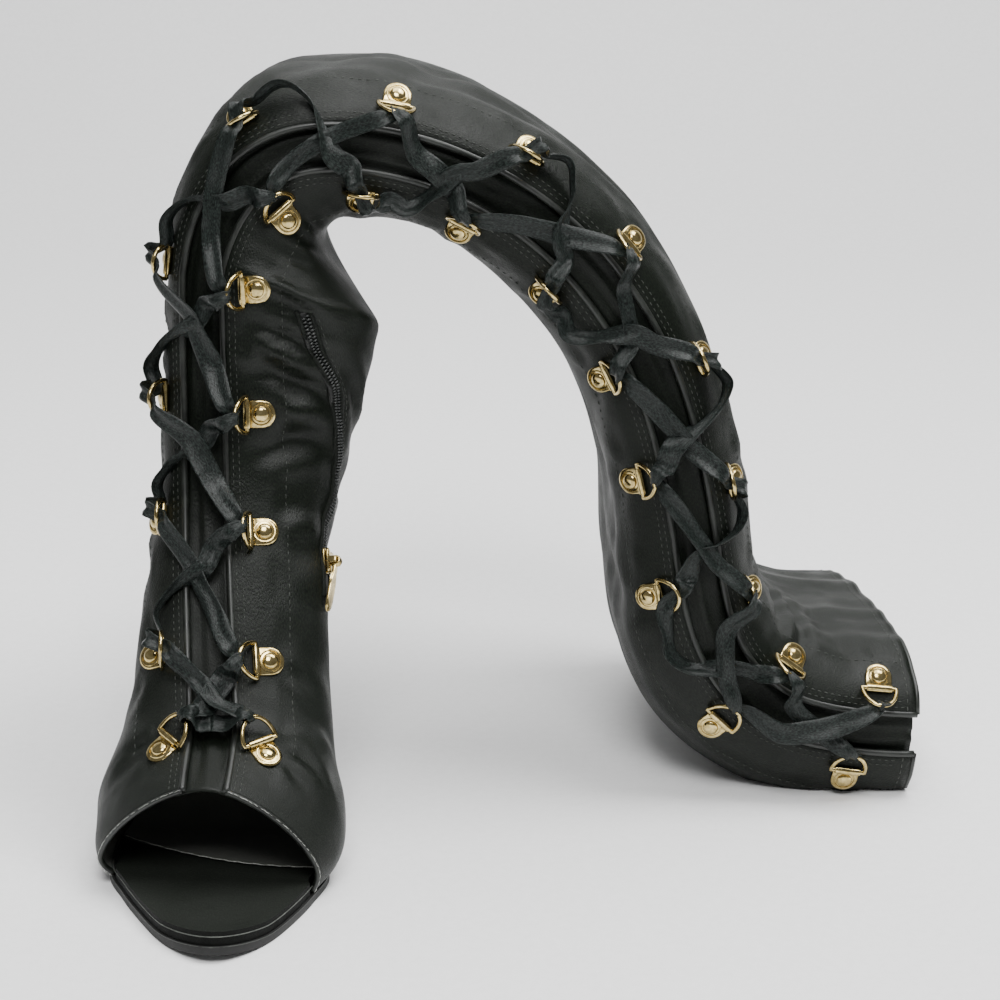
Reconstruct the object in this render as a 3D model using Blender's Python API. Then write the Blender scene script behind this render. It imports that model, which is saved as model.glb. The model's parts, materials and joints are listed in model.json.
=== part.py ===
"""An open-toe, over-the-knee boot in black satin, laced up its front: the right boot of a pair.

It stands empty on its sole, and its slack shaft bends over to the inner side until its end
lies on the floor. +X is the inner (medial) side, +Y the heel and +Z up; the origin is on the
floor under the middle of the tread. Sizes below are millimetres, and MM turns them to metres.
"""

import math

import bmesh
import bpy
import numpy as np
from mathutils import Matrix, Vector
from mathutils.bvhtree import BVHTree

MM = 0.001

GAP = 0.35  # between pieces that touch on the real boot
WALL = 2.0  # satin, backing and lining of the upper together
OUTSOLE = 3.2
FOOTBED = 4.8  # the board with its satin wrap, at the toe
FOOTBED_BACK = 4.0  # the same board under the heel
INSOLE = 1.2
FOOTBED_INSET = 0.9  # from the outsole's edge, at the bare toe
INSIDE_INSET = 3.2  # from the outsole's edge to what lies inside the upper
HEEL_INSET = 4.6  # the same round the back of the heel
UPPER_INSET = 0.5
UPPER_LIFT = 0.6  # from the outsole to the upper's lower edge

LACE_GAP = 9.0  # half the width of the laced gap
TONGUE_HALF = 21.0
TONGUE_TIP_HALF = 12.5  # at the open toe
TONGUE = 1.4

HEEL_TIP = 4.0
HEEL_TIP_HALF = (5.0, 5.5)  # across and along
HEEL_TIP_AT = (2.0, 116.0)
BREAST_Y = 86.0  # where the outsole ends and the heel begins

RING_PAIRS = 14
RING_STEP = 48.0  # between lace loops along the shaft
LOOP_AT = {"outer": 18.5, "inner": 17.5}  # from the middle of the gap to a loop's bar
LOOP_RISE = {"outer": 4.5, "inner": -3.5}  # the outer loop of each pair sits higher
LOOP_TILT = 12.0  # degrees that its D stands off the satin

# The underside of the sole by row, from the tip of the toe to the back of the heel seat:
# where the row is along the foot, its height, and the outer and inner edge of the sole.
SOLE = (
    (-76.6, 3.2, 5.0, 5.0),
    (-76.0, 3.1, 1.4, 8.6),
    (-73.6, 2.5, -3.0, 12.8),
    (-68.4, 1.4, -9.2, 18.4),
    (-59.2, 0.2, -16.6, 25.0),
    (-45.0, 0.0, -25.0, 31.6),
    (-28.0, 0.0, -33.7, 37.6),
    (-8.0, 0.0, -41.6, 42.2),
    (12.0, 0.0, -42.3, 38.2),
    (28.0, 6.5, -38.3, 32.6),
    (43.0, 21.0, -32.8, 27.8),
    (57.0, 41.0, -28.2, 24.6),
    (70.0, 60.0, -25.4, 23.4),
    (83.0, 76.5, -24.4, 23.6),
    (97.0, 88.0, -24.6, 25.0),
    (111.0, 93.8, -22.8, 25.2),
    (121.0, 96.2, -18.0, 21.6),
    (127.0, 97.4, -11.5, 15.4),
    (129.6, 97.9, -4.5, 8.7),
    (130.2, 98.0, 2.2, 2.2),
)

# The ridge of the front, down the middle of the laced gap, by lace-loop number. Number 0 is
# the edge of the open toe.
RIDGE = (
    (0.0, -2.2, -31.0, 49.0),
    (0.5, -2.1, -17.0, 53.5),
    (1.0, -2.1, -3.0, 59.0),
    (1.5, -3.3, 8.5, 68.5),
    (2.0, -5.1, 19.0, 82.0),
    (2.5, -7.4, 33.5, 101.5),
    (3.0, -9.5, 49.0, 123.5),
    (3.5, -10.8, 58.5, 145.0),
    (4.0, -11.5, 64.4, 167.5),
    (4.5, -12.2, 68.5, 192.0),
    (5.0, -12.5, 71.3, 216.5),
)
TOP_RING = RIDGE[-1][0]  # above this lace loop the shaft is slack and bends over
COLLAR = 14.45

# The slack shaft: how far past the vertical its ridge leans, by lace-loop number.
BEND = (
    (5.0, 8.0),
    (5.5, 26.0),
    (6.0, 54.0),
    (6.6, 88.0),
    (7.4, 107.0),
    (8.4, 126.0),
    (9.6, 148.0),
    (10.8, 166.0),
    (11.7, 170.0),
    (12.3, 160.0),
    (13.0, 130.0),
    (13.6, 104.0),
    (14.45, 91.0),
)
BEND_TOWARDS = 5.0  # degrees that the bend turns back from straight inwards
BACK_LEAN = 6.5  # degrees that the upright ridge leans back

# Where each fan-like section of the foot meets the edge of the sole, by lace-loop number.
FEATHER = (
    (0.0, -14.0, -26.0),
    (0.5, -3.0, -14.5),
    (1.0, 8.5, -2.0),
    (1.5, 25.0, 15.0),
    (2.0, 46.0, 37.0),
    (2.5, 72.0, 65.0),
    (3.0, 99.0, 95.0),
    (3.25, 117.0, 115.0),
    (3.5, 130.2, 130.2),
)
CLOSED = FEATHER[-1][0]  # from this section up, the upper is closed at the back

# The back of the boot from the heel seat to the slack part, by lace-loop number.
BACK = (
    (3.75, 2.4, 135.0, 112.5),
    (4.0, 2.6, 135.6, 128.0),
    (4.5, 3.0, 133.5, 155.0),
    (5.0, 5.0, 142.0, 184.0),
)

# The slack shaft's back: how deep its flattened section is, which way that depth points
# (degrees from straight back to the inner side) and how far the back trails the ridge.
SLACK = (
    (5.5, 92.0, 8.0, 20.0),
    (6.0, 106.0, 3.0, 12.0),
    (7.0, 124.0, -3.0, 2.0),
    (8.0, 134.0, -5.0, 0.0),
    (10.0, 146.0, -5.0, 0.0),
    (12.0, 156.0, -5.0, 2.0),
    (14.45, 166.0, -6.0, 6.0),
)

# The shape of each section: how far it swells to the outer and inner side of the line from
# ridge to back, where along that line it is widest, how square its front and back halves
# are (2 is an ellipse), and how far its curve turns in at the end, in degrees.
GIRTH = (
    (0.0, 43.5, 41.5, 0.82, 1.5, 2.0, 46.0),
    (0.5, 46.5, 47.0, 0.78, 1.75, 2.0, 48.0),
    (1.0, 47.0, 49.0, 0.72, 1.95, 2.0, 48.0),
    (2.0, 35.5, 43.5, 0.58, 2.1, 2.0, 50.0),
    (3.0, 28.5, 40.5, 0.50, 2.1, 2.0, 62.0),
    (3.5, 26.5, 43.0, 0.48, 2.2, 2.2, 90.0),
    (4.0, 24.0, 49.5, 0.46, 2.2, 2.3, 90.0),
    (4.5, 22.5, 57.0, 0.46, 2.2, 2.2, 90.0),
    (5.0, 22.0, 62.0, 0.46, 2.2, 2.1, 90.0),
    (5.5, 24.0, 53.0, 0.42, 2.25, 2.2, 90.0),
    (6.0, 26.0, 44.0, 0.38, 2.3, 2.4, 90.0),
    (7.0, 28.0, 32.0, 0.33, 2.4, 2.5, 90.0),
    (8.0, 27.0, 30.0, 0.30, 2.4, 2.6, 90.0),
    (11.0, 26.0, 28.0, 0.27, 2.4, 2.6, 90.0),
    (12.0, 26.0, 34.0, 0.26, 2.4, 2.6, 90.0),
    (13.0, 27.0, 41.0, 0.26, 2.4, 2.6, 90.0),
    (14.45, 30.0, 43.0, 0.25, 2.3, 2.5, 90.0),
)

# How far the tongue lies under the upper's lining, by lace-loop number.
TONGUE_DROP = (
    (0.0, 0.8),
    (4.2, 0.8),
    (4.9, 2.2),
    (5.5, 3.0),
    (6.2, 2.6),
    (7.2, 1.4),
    (11.6, 1.4),
    (12.8, 2.6),
    (14.45, 2.2),
)

# A lace loop: its plate, the fold round the bar of its D, its rivet and the D itself.
PLATE = 0.9
PLATE_HALF = 5.8
PLATE_REACH = 11.2
FOLD = 1.6  # the fold's radius
RIVET = 3.1
D_WIRE = 1.0  # its radius
D_HALF = 7.6
D_DEPTH = 10.0
LOW_LOOP_AT = {"outer": 15.5, "inner": 18.5}  # the lowest pair, with its plates turned down
LOW_LOOP_RISE = {"outer": -4.0, "inner": -5.5}
LOW_LOOP_TURN = {"outer": 42.0, "inner": 52.0}

RIBBON = 1.3  # the lace's ribbon, as thick as it bunches
BAR_RISE = 2.4  # from the lowest pair of loops up to the middle of its bar
BAR_ENDS = (-5.4, 9.6)
LOW_CROSS_RISE = 9.3  # the lowest crossing starts above that bar
CROSS_START = 3.2  # from a loop's middle to where a crossing ends beside it
CROSS_REACH = 5.4
CROSS_LIFT = 3.7
LOOP_CLEAR = 1.5  # from a loop's wire to the middle of a crossing's end

# The zip's line by lace-loop number: how far round the inner side it is, 0.5 being the widest.
ZIP_LINE = (
    (2.7, 0.485),
    (3.1, 0.49),
    (3.45, 0.49),
    (3.66, 0.475),
    (3.9, 0.435),
    (4.2, 0.37),
    (4.5, 0.27),
    (4.8, 0.215),
)
ZIP_FROM, ZIP_TO = 3.04, 4.78  # lace-loop numbers
ZIP_HALF = 2.8
ZIP_THICK = 1.4
ZIP_LIFT = 0.6
SLIDER_RING = 2.86
SLIDER_HIGH = 2.4
BAR_HIGH = 4.8  # the slider's bar, which the pull hangs from
BAR_RADIUS = 0.8
EYE, EYE_HOLE, EYE_HALF = 1.9, 1.15, 1.9  # the pull's eye round that bar
PULL = 1.1


def smooth(table, at):
    """The rows of a table at in-between places, by monotone cubics, so flat stretches stay flat."""
    table = np.asarray(table, float)
    knots, values = table[:, 0], table[:, 1:]
    step = np.diff(knots)[:, None]
    slope = np.diff(values, axis=0) / step
    tangent = np.concatenate((slope[:1], np.zeros_like(slope[1:]), slope[-1:]))
    near, far = slope[:-1], slope[1:]
    weight_near, weight_far = 2 * step[1:] + step[:-1], step[1:] + 2 * step[:-1]
    same_way = near * far > 0
    safe_near, safe_far = np.where(same_way, near, 1.0), np.where(same_way, far, 1.0)
    mean = (weight_near + weight_far) / (weight_near / safe_near + weight_far / safe_far)
    tangent[1:-1] = np.where(same_way, mean, 0.0)
    at = np.clip(np.asarray(at, float), knots[0], knots[-1])
    row = np.clip(np.searchsorted(knots, at, side="right") - 1, 0, len(knots) - 2)
    t = ((at - knots[row]) / step[row, 0])[..., None]
    h = step[row]
    return (
        (2 * t**3 - 3 * t**2 + 1) * values[row]
        + (t**3 - 2 * t**2 + t) * h * tangent[row]
        + (3 * t**2 - 2 * t**3) * values[row + 1]
        + (t**3 - t**2) * h * tangent[row + 1]
    )


def unit(vectors):
    vectors = np.asarray(vectors, float)
    return vectors / np.linalg.norm(vectors, axis=-1, keepdims=True)


def travelled(points):
    """How far along a line of points each one is."""
    steps = np.linalg.norm(np.diff(points, axis=0), axis=1)
    return np.concatenate(([0.0], np.cumsum(steps)))


# ---------------------------------------------------------------- the sole and the last


def sole_curves():
    """The sole's underside, finely divided, with the length run from the tip at each point."""
    numbered = [(row, *values) for row, values in enumerate(SOLE)]
    rows = smooth(numbered, np.linspace(0, len(SOLE) - 1, 1200))
    length = travelled(rows[:, :2])
    tangent = unit(np.gradient(rows[:, :2], axis=0))
    return {
        "length": length,
        "y": rows[:, 0],
        "z": rows[:, 1],
        "outer": rows[:, 2],
        "inner": rows[:, 3],
        "up_y": -tangent[:, 1],
        "up_z": tangent[:, 0],
    }


LAST = sole_curves()
SOLE_LENGTH = LAST["length"][-1]


def length_at(y):
    """How far along the sole the given place along the foot is."""
    return np.interp(y, LAST["y"], LAST["length"])


def on_last(length, x, lift):
    """A point over the sole: so far along it, at x, lifted square to its underside."""
    y = np.interp(length, LAST["length"], LAST["y"])
    z = np.interp(length, LAST["length"], LAST["z"])
    up_y = np.interp(length, LAST["length"], LAST["up_y"])
    up_z = np.interp(length, LAST["length"], LAST["up_z"])
    return np.stack((np.broadcast_to(x, np.shape(y)), y + up_y * lift, z + up_z * lift), axis=-1)


def sole_edge(length, side, inset):
    """The edge of the sole pulled in by inset, as (length, x). side is -1 outer, 1 inner."""
    edge = LAST["outer" if side < 0 else "inner"]
    x = np.interp(length, LAST["length"], edge)
    ahead = np.interp(length + 0.4, LAST["length"], edge)
    behind = np.interp(length - 0.4, LAST["length"], edge)
    run = np.minimum(length + 0.4, SOLE_LENGTH) - np.maximum(length - 0.4, 0.0)
    slope = (ahead - behind) / run
    size = np.hypot(1.0, slope)
    return length + side * slope / size * inset, x - side * inset / size


def thickness_at(length, front, back):
    """A thickness that eases from the ball to the heel."""
    share = np.clip((length - length_at(-10.0)) / (length_at(60.0) - length_at(-10.0)), 0, 1)
    return front + (back - front) * share * share * (3 - 2 * share)


def outsole_top(length):
    return thickness_at(length, OUTSOLE, 3.0)


def footbed_top(length):
    return outsole_top(length) + GAP + thickness_at(length, FOOTBED, FOOTBED_BACK)


# ---------------------------------------------------------------- the upper's own shape


def ridge_curve():
    """The front ridge from the open toe to the collar, finely divided, and its loop numbers."""
    foot_rings = np.linspace(0.0, TOP_RING, 400)
    foot = smooth(RIDGE, foot_rings)
    slack_rings = np.linspace(TOP_RING, COLLAR, 800)[1:]
    lean = np.radians(smooth(BEND, slack_rings)[:, 0])
    towards = math.radians(BEND_TOWARDS)
    back = math.tan(math.radians(BACK_LEAN))
    heading = np.stack(
        (
            np.sin(lean) * math.cos(towards),
            np.sin(lean) * math.sin(towards) + np.cos(lean) * back,
            np.cos(lean),
        ),
        axis=1,
    )
    step = (slack_rings[1] - slack_rings[0]) * RING_STEP
    slack = foot[-1] + np.cumsum(unit(heading) * step, axis=0)
    rings = np.concatenate((foot_rings, slack_rings))
    points = np.concatenate((foot, slack))
    return rings, points


RIDGE_RINGS, RIDGE_POINTS = ridge_curve()
RIDGE_LENGTH = travelled(RIDGE_POINTS)


def ridge_at(rings):
    return np.stack([np.interp(rings, RIDGE_RINGS, RIDGE_POINTS[:, i]) for i in range(3)], axis=-1)


def ridge_heading(rings):
    return unit(ridge_at(np.minimum(rings + 0.1, COLLAR)) - ridge_at(np.maximum(rings - 0.1, 0.0)))


def slack_back(rings):
    depth, turn, trail = smooth(SLACK, rings).T
    turn = np.radians(turn)
    away = np.stack((np.sin(turn), np.cos(turn), np.zeros_like(turn)), axis=-1)
    return ridge_at(rings) + away * depth[:, None] - ridge_heading(rings) * trail[:, None]


def back_curve():
    """The back of the boot above the heel seat, finely divided, through the slack part too."""
    seat = on_last(SOLE_LENGTH, LAST["outer"][-1], outsole_top(SOLE_LENGTH) + UPPER_LIFT)
    slack_rings = np.linspace(SLACK[0][0], COLLAR, 19)
    rows = [(CLOSED, *seat), *BACK]
    rows += [(ring, *point) for ring, point in zip(slack_rings, slack_back(slack_rings))]
    rings = np.linspace(CLOSED, COLLAR, 600)
    return rings, smooth(rows, rings)


BACK_RINGS, BACK_POINTS = back_curve()


def ends_at(rings, side):
    """Where each section ends: on the edge of the sole, or on the back of the boot."""
    feather = smooth(FEATHER, rings)[:, 0 if side < 0 else 1]
    length, x = sole_edge(length_at(feather), side, UPPER_INSET)
    on_sole = on_last(length, x, outsole_top(length) + UPPER_LIFT)
    up_back = np.stack([np.interp(rings, BACK_RINGS, BACK_POINTS[:, i]) for i in range(3)], axis=-1)
    return np.where((rings < CLOSED)[:, None], on_sole, up_back)


def half_sections(rings, side, turns):
    """The outside of the upper as a grid of points, one row for each ring.

    turns runs from 0 on the ridge through 0.5 at the widest line to 1 at the section's end.
    """
    rings = np.atleast_1d(np.asarray(rings, float))
    ridge = ridge_at(rings)
    ends = ends_at(rings, side)
    middle = (ends_at(rings, -1) + ends_at(rings, 1)) / 2
    across = unit(np.cross(middle - ridge, ridge_heading(rings)))
    outer, inner, widest, front_power, back_power, curl = smooth(GIRTH, rings).T
    width = np.where(side < 0, outer, inner)[:, None]
    reach = side * np.sum((ends - ridge) * across, axis=1)[:, None]
    depth = (ends - ridge) - side * reach * across
    turns = np.asarray(turns, float)[None, :]
    widest, curl = widest[:, None], np.radians(curl)[:, None]
    front = np.clip(turns * 2, 0, 1) * math.pi / 2
    back = np.clip(turns * 2 - 1, 0, 1) * curl
    front_power, back_power = 2 / front_power[:, None], 2 / back_power[:, None]
    front_cos, back_cos = np.cos(front).clip(0, 1), np.cos(back).clip(0, 1)
    last_cos = np.cos(curl).clip(0, 1) ** back_power
    down = widest * (1 - front_cos**front_power)
    down = down + (1 - widest) * (np.sin(back) / np.sin(curl)) ** back_power
    close = (back_cos**back_power - last_cos) / (1 - last_cos)
    out = np.where(turns < 0.5, width * np.sin(front) ** front_power, reach + (width - reach) * close)
    points = ridge[:, None] + down[..., None] * depth[:, None] + (side * out)[..., None] * across[:, None]
    floor = np.maximum(points[..., 2], 0.0)
    return np.concatenate((points[..., :2], floor[..., None]), axis=-1)


def walk_round(rings, distances):
    """Points on the outside, so far round from the ridge: negative is the outer side."""
    rings = np.atleast_1d(np.asarray(rings, float))
    distances = np.asarray(distances, float)
    turns = np.linspace(0, 1, 161) ** 1.5
    found = np.zeros((len(rings), len(distances), 3))
    for side in (-1, 1):
        mine = distances * side > 0 if side > 0 else distances <= 0
        for i, line in enumerate(half_sections(rings, side, turns)):
            run = travelled(line)
            for axis in range(3):
                found[i, mine, axis] = np.interp(np.abs(distances[mine]), run, line[:, axis])
    return found


def frame_at(ring, distance):
    """A point on the outside with its directions: away round the leg, along it and outward."""
    reach = 1.5
    point = walk_round([ring], [distance])[0, 0]
    outer, inner = walk_round([ring], [distance - reach, distance + reach])[0]
    low, high = walk_round([ring - 0.03, ring + 0.03], [distance])[:, 0]
    along = unit(high - low)
    outward = unit(np.cross(inner - outer, along))
    round_leg = np.cross(along, outward)
    return point, round_leg, along, outward


# ---------------------------------------------------------------- making objects


def material(name, colour, roughness, metallic=0.0):
    made = bpy.data.materials.new(name)
    made.use_nodes = True
    shader = made.node_tree.nodes["Principled BSDF"]
    shader.inputs["Base Color"].default_value = (*colour, 1.0)
    shader.inputs["Roughness"].default_value = roughness
    shader.inputs["Metallic"].default_value = metallic
    made.diffuse_color = (*colour, 1.0)
    return made


def add_mesh(name, points, faces, finish):
    """An object from points in millimetres, with its faces turned outward."""
    mesh = bpy.data.meshes.new(name)
    mesh.from_pydata([Vector(p) * MM for p in points], [], faces)
    mesh.materials.append(finish)
    shape = bmesh.new()
    shape.from_mesh(mesh)
    bmesh.ops.recalc_face_normals(shape, faces=shape.faces)
    shape.to_mesh(mesh)
    shape.free()
    mesh.shade_smooth()
    mesh.set_sharp_from_angle(angle=math.radians(40))
    made = bpy.data.objects.new(name, mesh)
    bpy.context.scene.collection.objects.link(made)
    return made


def loft(rings, closed_ends=True):
    """Points and faces through rings that each have the same number of points."""
    count = len(rings[0])
    points = [point for ring in rings for point in ring]
    faces = []
    for row in range(len(rings) - 1):
        for i in range(count):
            j = (i + 1) % count
            faces.append((row * count + i, row * count + j, (row + 1) * count + j, (row + 1) * count + i))
    if closed_ends:
        faces.append(tuple(range(count)))
        faces.append(tuple((len(rings) - 1) * count + i for i in range(count)))
    return points, faces


def strip(name, rows, finish):
    """A closed band from rows of points given as (low left, low right, high right, high left)."""
    return add_mesh(name, *loft(rows), finish)


def evaluated_tree(made):
    """A search tree over an object's finished surface, in millimetres."""
    final = made.evaluated_get(bpy.context.evaluated_depsgraph_get())
    mesh = final.to_mesh()
    points = [made.matrix_world @ v.co / MM for v in mesh.vertices]
    faces = [tuple(p.vertices) for p in mesh.polygons]
    final.to_mesh_clear()
    return BVHTree.FromPolygons(points, faces)


def clearance(tree, point):
    """How far a point is outside a surface; negative is inside."""
    near, normal, _, _ = tree.find_nearest(Vector(point))
    return (Vector(point) - near).dot(normal)


# ---------------------------------------------------------------- sole, heel and insole


def sole_layer(name, outer, inner, insets, low, high, finish):
    """A layer of the sole. outer and inner are lengths along its two edges, in pairs."""
    left_length, left = sole_edge(outer, -1, insets[0])
    right_length, right = sole_edge(inner, 1, insets[1])
    rows = zip(
        on_last(left_length, left, low(left_length)),
        on_last(right_length, right, low(right_length)),
        on_last(right_length, right, high(right_length)),
        on_last(left_length, left, high(left_length)),
    )
    return strip(name, list(rows), finish)


def sole_stations(first, last, count):
    """Lengths along the sole, closer together where its ends are round."""
    return np.interp(np.linspace(first, last, count), np.arange(len(SOLE)), length_at([r[0] for r in SOLE]))


def build_outsole(finish):
    stations = sole_stations(0.12, 13.0, 30)
    stations = np.append(stations[stations < length_at(BREAST_Y) - 3.0], length_at(BREAST_Y) - GAP)
    edge = np.zeros(len(stations))
    return sole_layer("outsole", stations, stations, (edge, edge), np.zeros_like, outsole_top, finish)


def inside_inset(length):
    """How far in from the outsole's edge the upper's lining is."""
    places = length_at([-77.0, 95.0, 118.0, 130.0])
    return np.interp(length, places, (INSIDE_INSET, INSIDE_INSET, HEEL_INSET, HEEL_INSET))


def build_footbed(finish):
    corners = [length_at(y) for y in FEATHER[0][1:]]
    steps = [corner + offset for corner in corners for offset in (-2.2, -0.9)]
    stations = np.sort(np.append(sole_stations(0.12, 18.9, 38), steps))
    inside = inside_inset(stations)
    insets = [np.where(stations < corner - 1.5, FOOTBED_INSET, inside) for corner in corners]
    return sole_layer(
        "footbed",
        stations,
        stations,
        insets,
        lambda length: outsole_top(length) + GAP,
        footbed_top,
        finish,
    )


def build_insole(finish):
    share = np.linspace(0, 1, 26)
    outer = length_at(9.0) * (1 - share) + length_at(127.5) * share
    inner = length_at(-16.0) * (1 - share) + length_at(127.5) * share
    return sole_layer(
        "insole",
        outer,
        inner,
        (inside_inset(outer) + 0.5, inside_inset(inner) + 0.5),
        lambda length: footbed_top(length) + GAP,
        lambda length: footbed_top(length) + GAP + INSOLE,
        finish,
    )


def heel_outline(count):
    """The heel seat from the breast round the back and across, as (length, x)."""
    first = length_at(BREAST_Y)
    stations = sole_stations(13.4, 18.9, count)
    stations[0] = first
    outer = np.stack(sole_edge(stations, -1, 0.6), axis=1)
    inner = np.stack(sole_edge(stations[::-1], 1, 0.6), axis=1)
    breast = [(first - 0.0, inner[-1, 1] * share + outer[0, 1] * (1 - share)) for share in (0.66, 0.33)]
    return np.concatenate((outer, inner, breast))


def build_heel(finish):
    """A stiletto: the seat's outline shrinks to the tip, fast at first and then slowly."""
    top = heel_outline(7)
    seat = on_last(top[:, 0], top[:, 1], outsole_top(top[:, 0]))
    middle = seat.mean(axis=0)
    angle = np.arctan2(seat[:, 1] - middle[1], seat[:, 0] - middle[0])
    half_x, half_y = HEEL_TIP_HALF
    tip = np.stack(
        (
            HEEL_TIP_AT[0] + half_x * np.cos(angle),
            HEEL_TIP_AT[1] + half_y * np.sin(angle),
            np.full(len(angle), HEEL_TIP + GAP),
        ),
        axis=1,
    )
    rings = []
    for fall in (0.0, 0.05, 0.13, 0.23, 0.35, 0.5, 0.68, 0.86, 1.0):
        spread = (1 - fall) ** 2.7
        ring = tip + (seat - tip) * spread
        ring[:, 2] = tip[:, 2] + (seat[:, 2] - tip[:, 2]) * (1 - fall)
        rings.append(ring)
    return add_mesh("heel", *loft(rings), finish)


def build_heel_tip(finish):
    angles = np.linspace(0, 2 * math.pi, 16, endpoint=False)
    rings = [
        [
            (
                HEEL_TIP_AT[0] + HEEL_TIP_HALF[0] * math.cos(a) * grow,
                HEEL_TIP_AT[1] + HEEL_TIP_HALF[1] * math.sin(a) * grow,
                z,
            )
            for a in angles
        ]
        for z, grow in ((0.0, 1.0), (HEEL_TIP, 1.06))
    ]
    return add_mesh("heel_tip", *loft(rings), finish)


# ---------------------------------------------------------------- upper and tongue


def upper_rings():
    foot = np.linspace(0.0, 2.5, 11)
    heel = np.linspace(2.5, CLOSED, 8)[1:]
    leg = np.linspace(CLOSED, 8.0, 15)[1:]
    slack = np.linspace(8.0, COLLAR, 13)[1:]
    return np.concatenate((foot, heel, leg, slack))


def gap_turn(ring, side):
    """How far round a section the laced edge is."""
    outer, inner, _, power, _, _ = smooth(GIRTH, np.array([ring]))[0]
    width = outer if side < 0 else inner
    return math.asin((LACE_GAP / width) ** (power / 2)) / math.pi


def build_upper(finish):
    """One sheet from the outer laced edge round the back to the inner one, thickened inward."""
    rings = upper_rings()
    columns = 9
    sheet = bmesh.new()
    grid = {}
    for row, ring in enumerate(rings):
        for side in (-1, 1):
            turns = np.linspace(gap_turn(ring, side), 1.0, columns + 1)
            turns = np.where(turns > 0.97, 1.0, turns)
            line = half_sections([ring], side, turns)[0]
            for column, point in enumerate(line):
                shared = column == columns and ring >= CLOSED and side > 0
                grid[side, row, column] = (
                    grid[-1, row, column] if shared else sheet.verts.new(Vector(point) * MM)
                )
    for side in (-1, 1):
        for row in range(len(rings) - 1):
            for column in range(columns):
                corners = [
                    grid[side, row, column],
                    grid[side, row, column + 1],
                    grid[side, row + 1, column + 1],
                    grid[side, row + 1, column],
                ]
                sheet.faces.new(corners[::-1] if side < 0 else corners)
    mesh = bpy.data.meshes.new("upper")
    sheet.to_mesh(mesh)
    sheet.free()
    mesh.materials.append(finish)
    mesh.shade_smooth()
    made = bpy.data.objects.new("upper", mesh)
    bpy.context.scene.collection.objects.link(made)
    wall = made.modifiers.new("wall", "SOLIDIFY")
    wall.thickness = WALL * MM
    wall.offset = -1.0
    wall.use_even_offset = True
    wall.use_quality_normals = True
    return made


def sheet_normals(points):
    """Outward directions of a grid of points whose columns run from outer to inner side."""
    down = np.gradient(points, axis=0)
    across = np.gradient(points, axis=1)
    return unit(np.cross(across, down))


def build_tongue(finish):
    rings = np.concatenate((np.linspace(0.02, 8.0, 25), np.linspace(8.0, COLLAR, 12)[1:]))
    share = np.array((-1.0, -0.4, 0.4, 1.0))
    halves = np.interp(rings, (0.0, 0.6), (TONGUE_TIP_HALF, TONGUE_HALF))
    outside = np.array([walk_round([r], share * h)[0] for r, h in zip(rings, halves)])
    inward = -sheet_normals(outside)
    top = outside + inward * (WALL + smooth(TONGUE_DROP, rings)[:, None])
    bottom = top + inward * TONGUE
    rows = [np.concatenate((low, high[::-1])) for low, high in zip(bottom, top)]
    return add_mesh("tongue", *loft(rows), finish)


# ---------------------------------------------------------------- joining solids


def joined(name, solids, finish):
    """One closed body from overlapping solids, as a mesh that several objects may share."""
    base = add_mesh(name, *solids[0], finish)
    others = [add_mesh(name + "_part", *solid, finish) for solid in solids[1:]]
    for other in others:
        union = base.modifiers.new("union", "BOOLEAN")
        union.operation = "UNION"
        union.object = other
    final = base.evaluated_get(bpy.context.evaluated_depsgraph_get())
    mesh = bpy.data.meshes.new_from_object(final)
    mesh.name = name
    for old in (base, *others):
        bpy.data.objects.remove(old, do_unlink=True)
    mesh.shade_smooth()
    mesh.set_sharp_from_angle(angle=math.radians(40))
    return mesh


def place(name, mesh, matrix):
    made = bpy.data.objects.new(name, mesh)
    bpy.context.scene.collection.objects.link(made)
    made.matrix_world = matrix
    return made


def frame_matrix(point, x_way, y_way, z_way):
    """The placing of a piece whose own axes lie along three directions, point in millimetres."""
    turn = Matrix([Vector(x_way), Vector(y_way), Vector(z_way)]).transposed().to_4x4()
    return Matrix.Translation(Vector(point) * MM) @ turn


def block(x, y, z):
    """A plain block between two values each way."""
    return loft([[(x[0], b, z[0]), (x[1], b, z[0]), (x[1], b, z[1]), (x[0], b, z[1])] for b in y])


def rod(centre, radius, half_length, sides):
    """A round bar along X."""
    angles = np.linspace(0, 2 * math.pi, sides, endpoint=False)
    return loft(
        [
            [(x, centre[1] + radius * math.cos(a), centre[2] + radius * math.sin(a)) for a in angles]
            for x in (centre[0] - half_length, centre[0] + half_length)
        ]
    )


# ---------------------------------------------------------------- lace loops


def bent_wire(path, radius, sides):
    """A closed ring of wire through a flat path of (x, y)."""
    path = [Vector((x, y, 0)) for x, y in path]
    rings = []
    for i, here in enumerate(path):
        way = (path[(i + 1) % len(path)] - path[i - 1]).normalized()
        aside = way.cross(Vector((0, 0, 1)))
        angles = [2 * math.pi * (k + 0.5) / sides for k in range(sides)]
        rings.append(
            [here + (aside * math.cos(a) + Vector((0, 0, math.sin(a)))) * radius for a in angles]
        )
    points, faces = loft(rings + rings[:1], closed_ends=False)
    total = len(path) * sides
    return points[:total], [tuple(i % total for i in face) for face in faces]


def d_ring():
    """The D of a lace loop, tilted up from its bar, which lies in the plate's fold."""
    bend = [math.radians(a) for a in (90, 122, 160, 200, 238, 270)]
    path = [(D_DEPTH * math.cos(a), D_HALF * math.sin(a)) for a in bend]
    points, faces = bent_wire(path, D_WIRE, 5)
    lift = Matrix.Translation((0, 0, FOLD)) @ Matrix.Rotation(math.radians(LOOP_TILT), 4, "Y")
    return [lift @ p for p in points], faces


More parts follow.
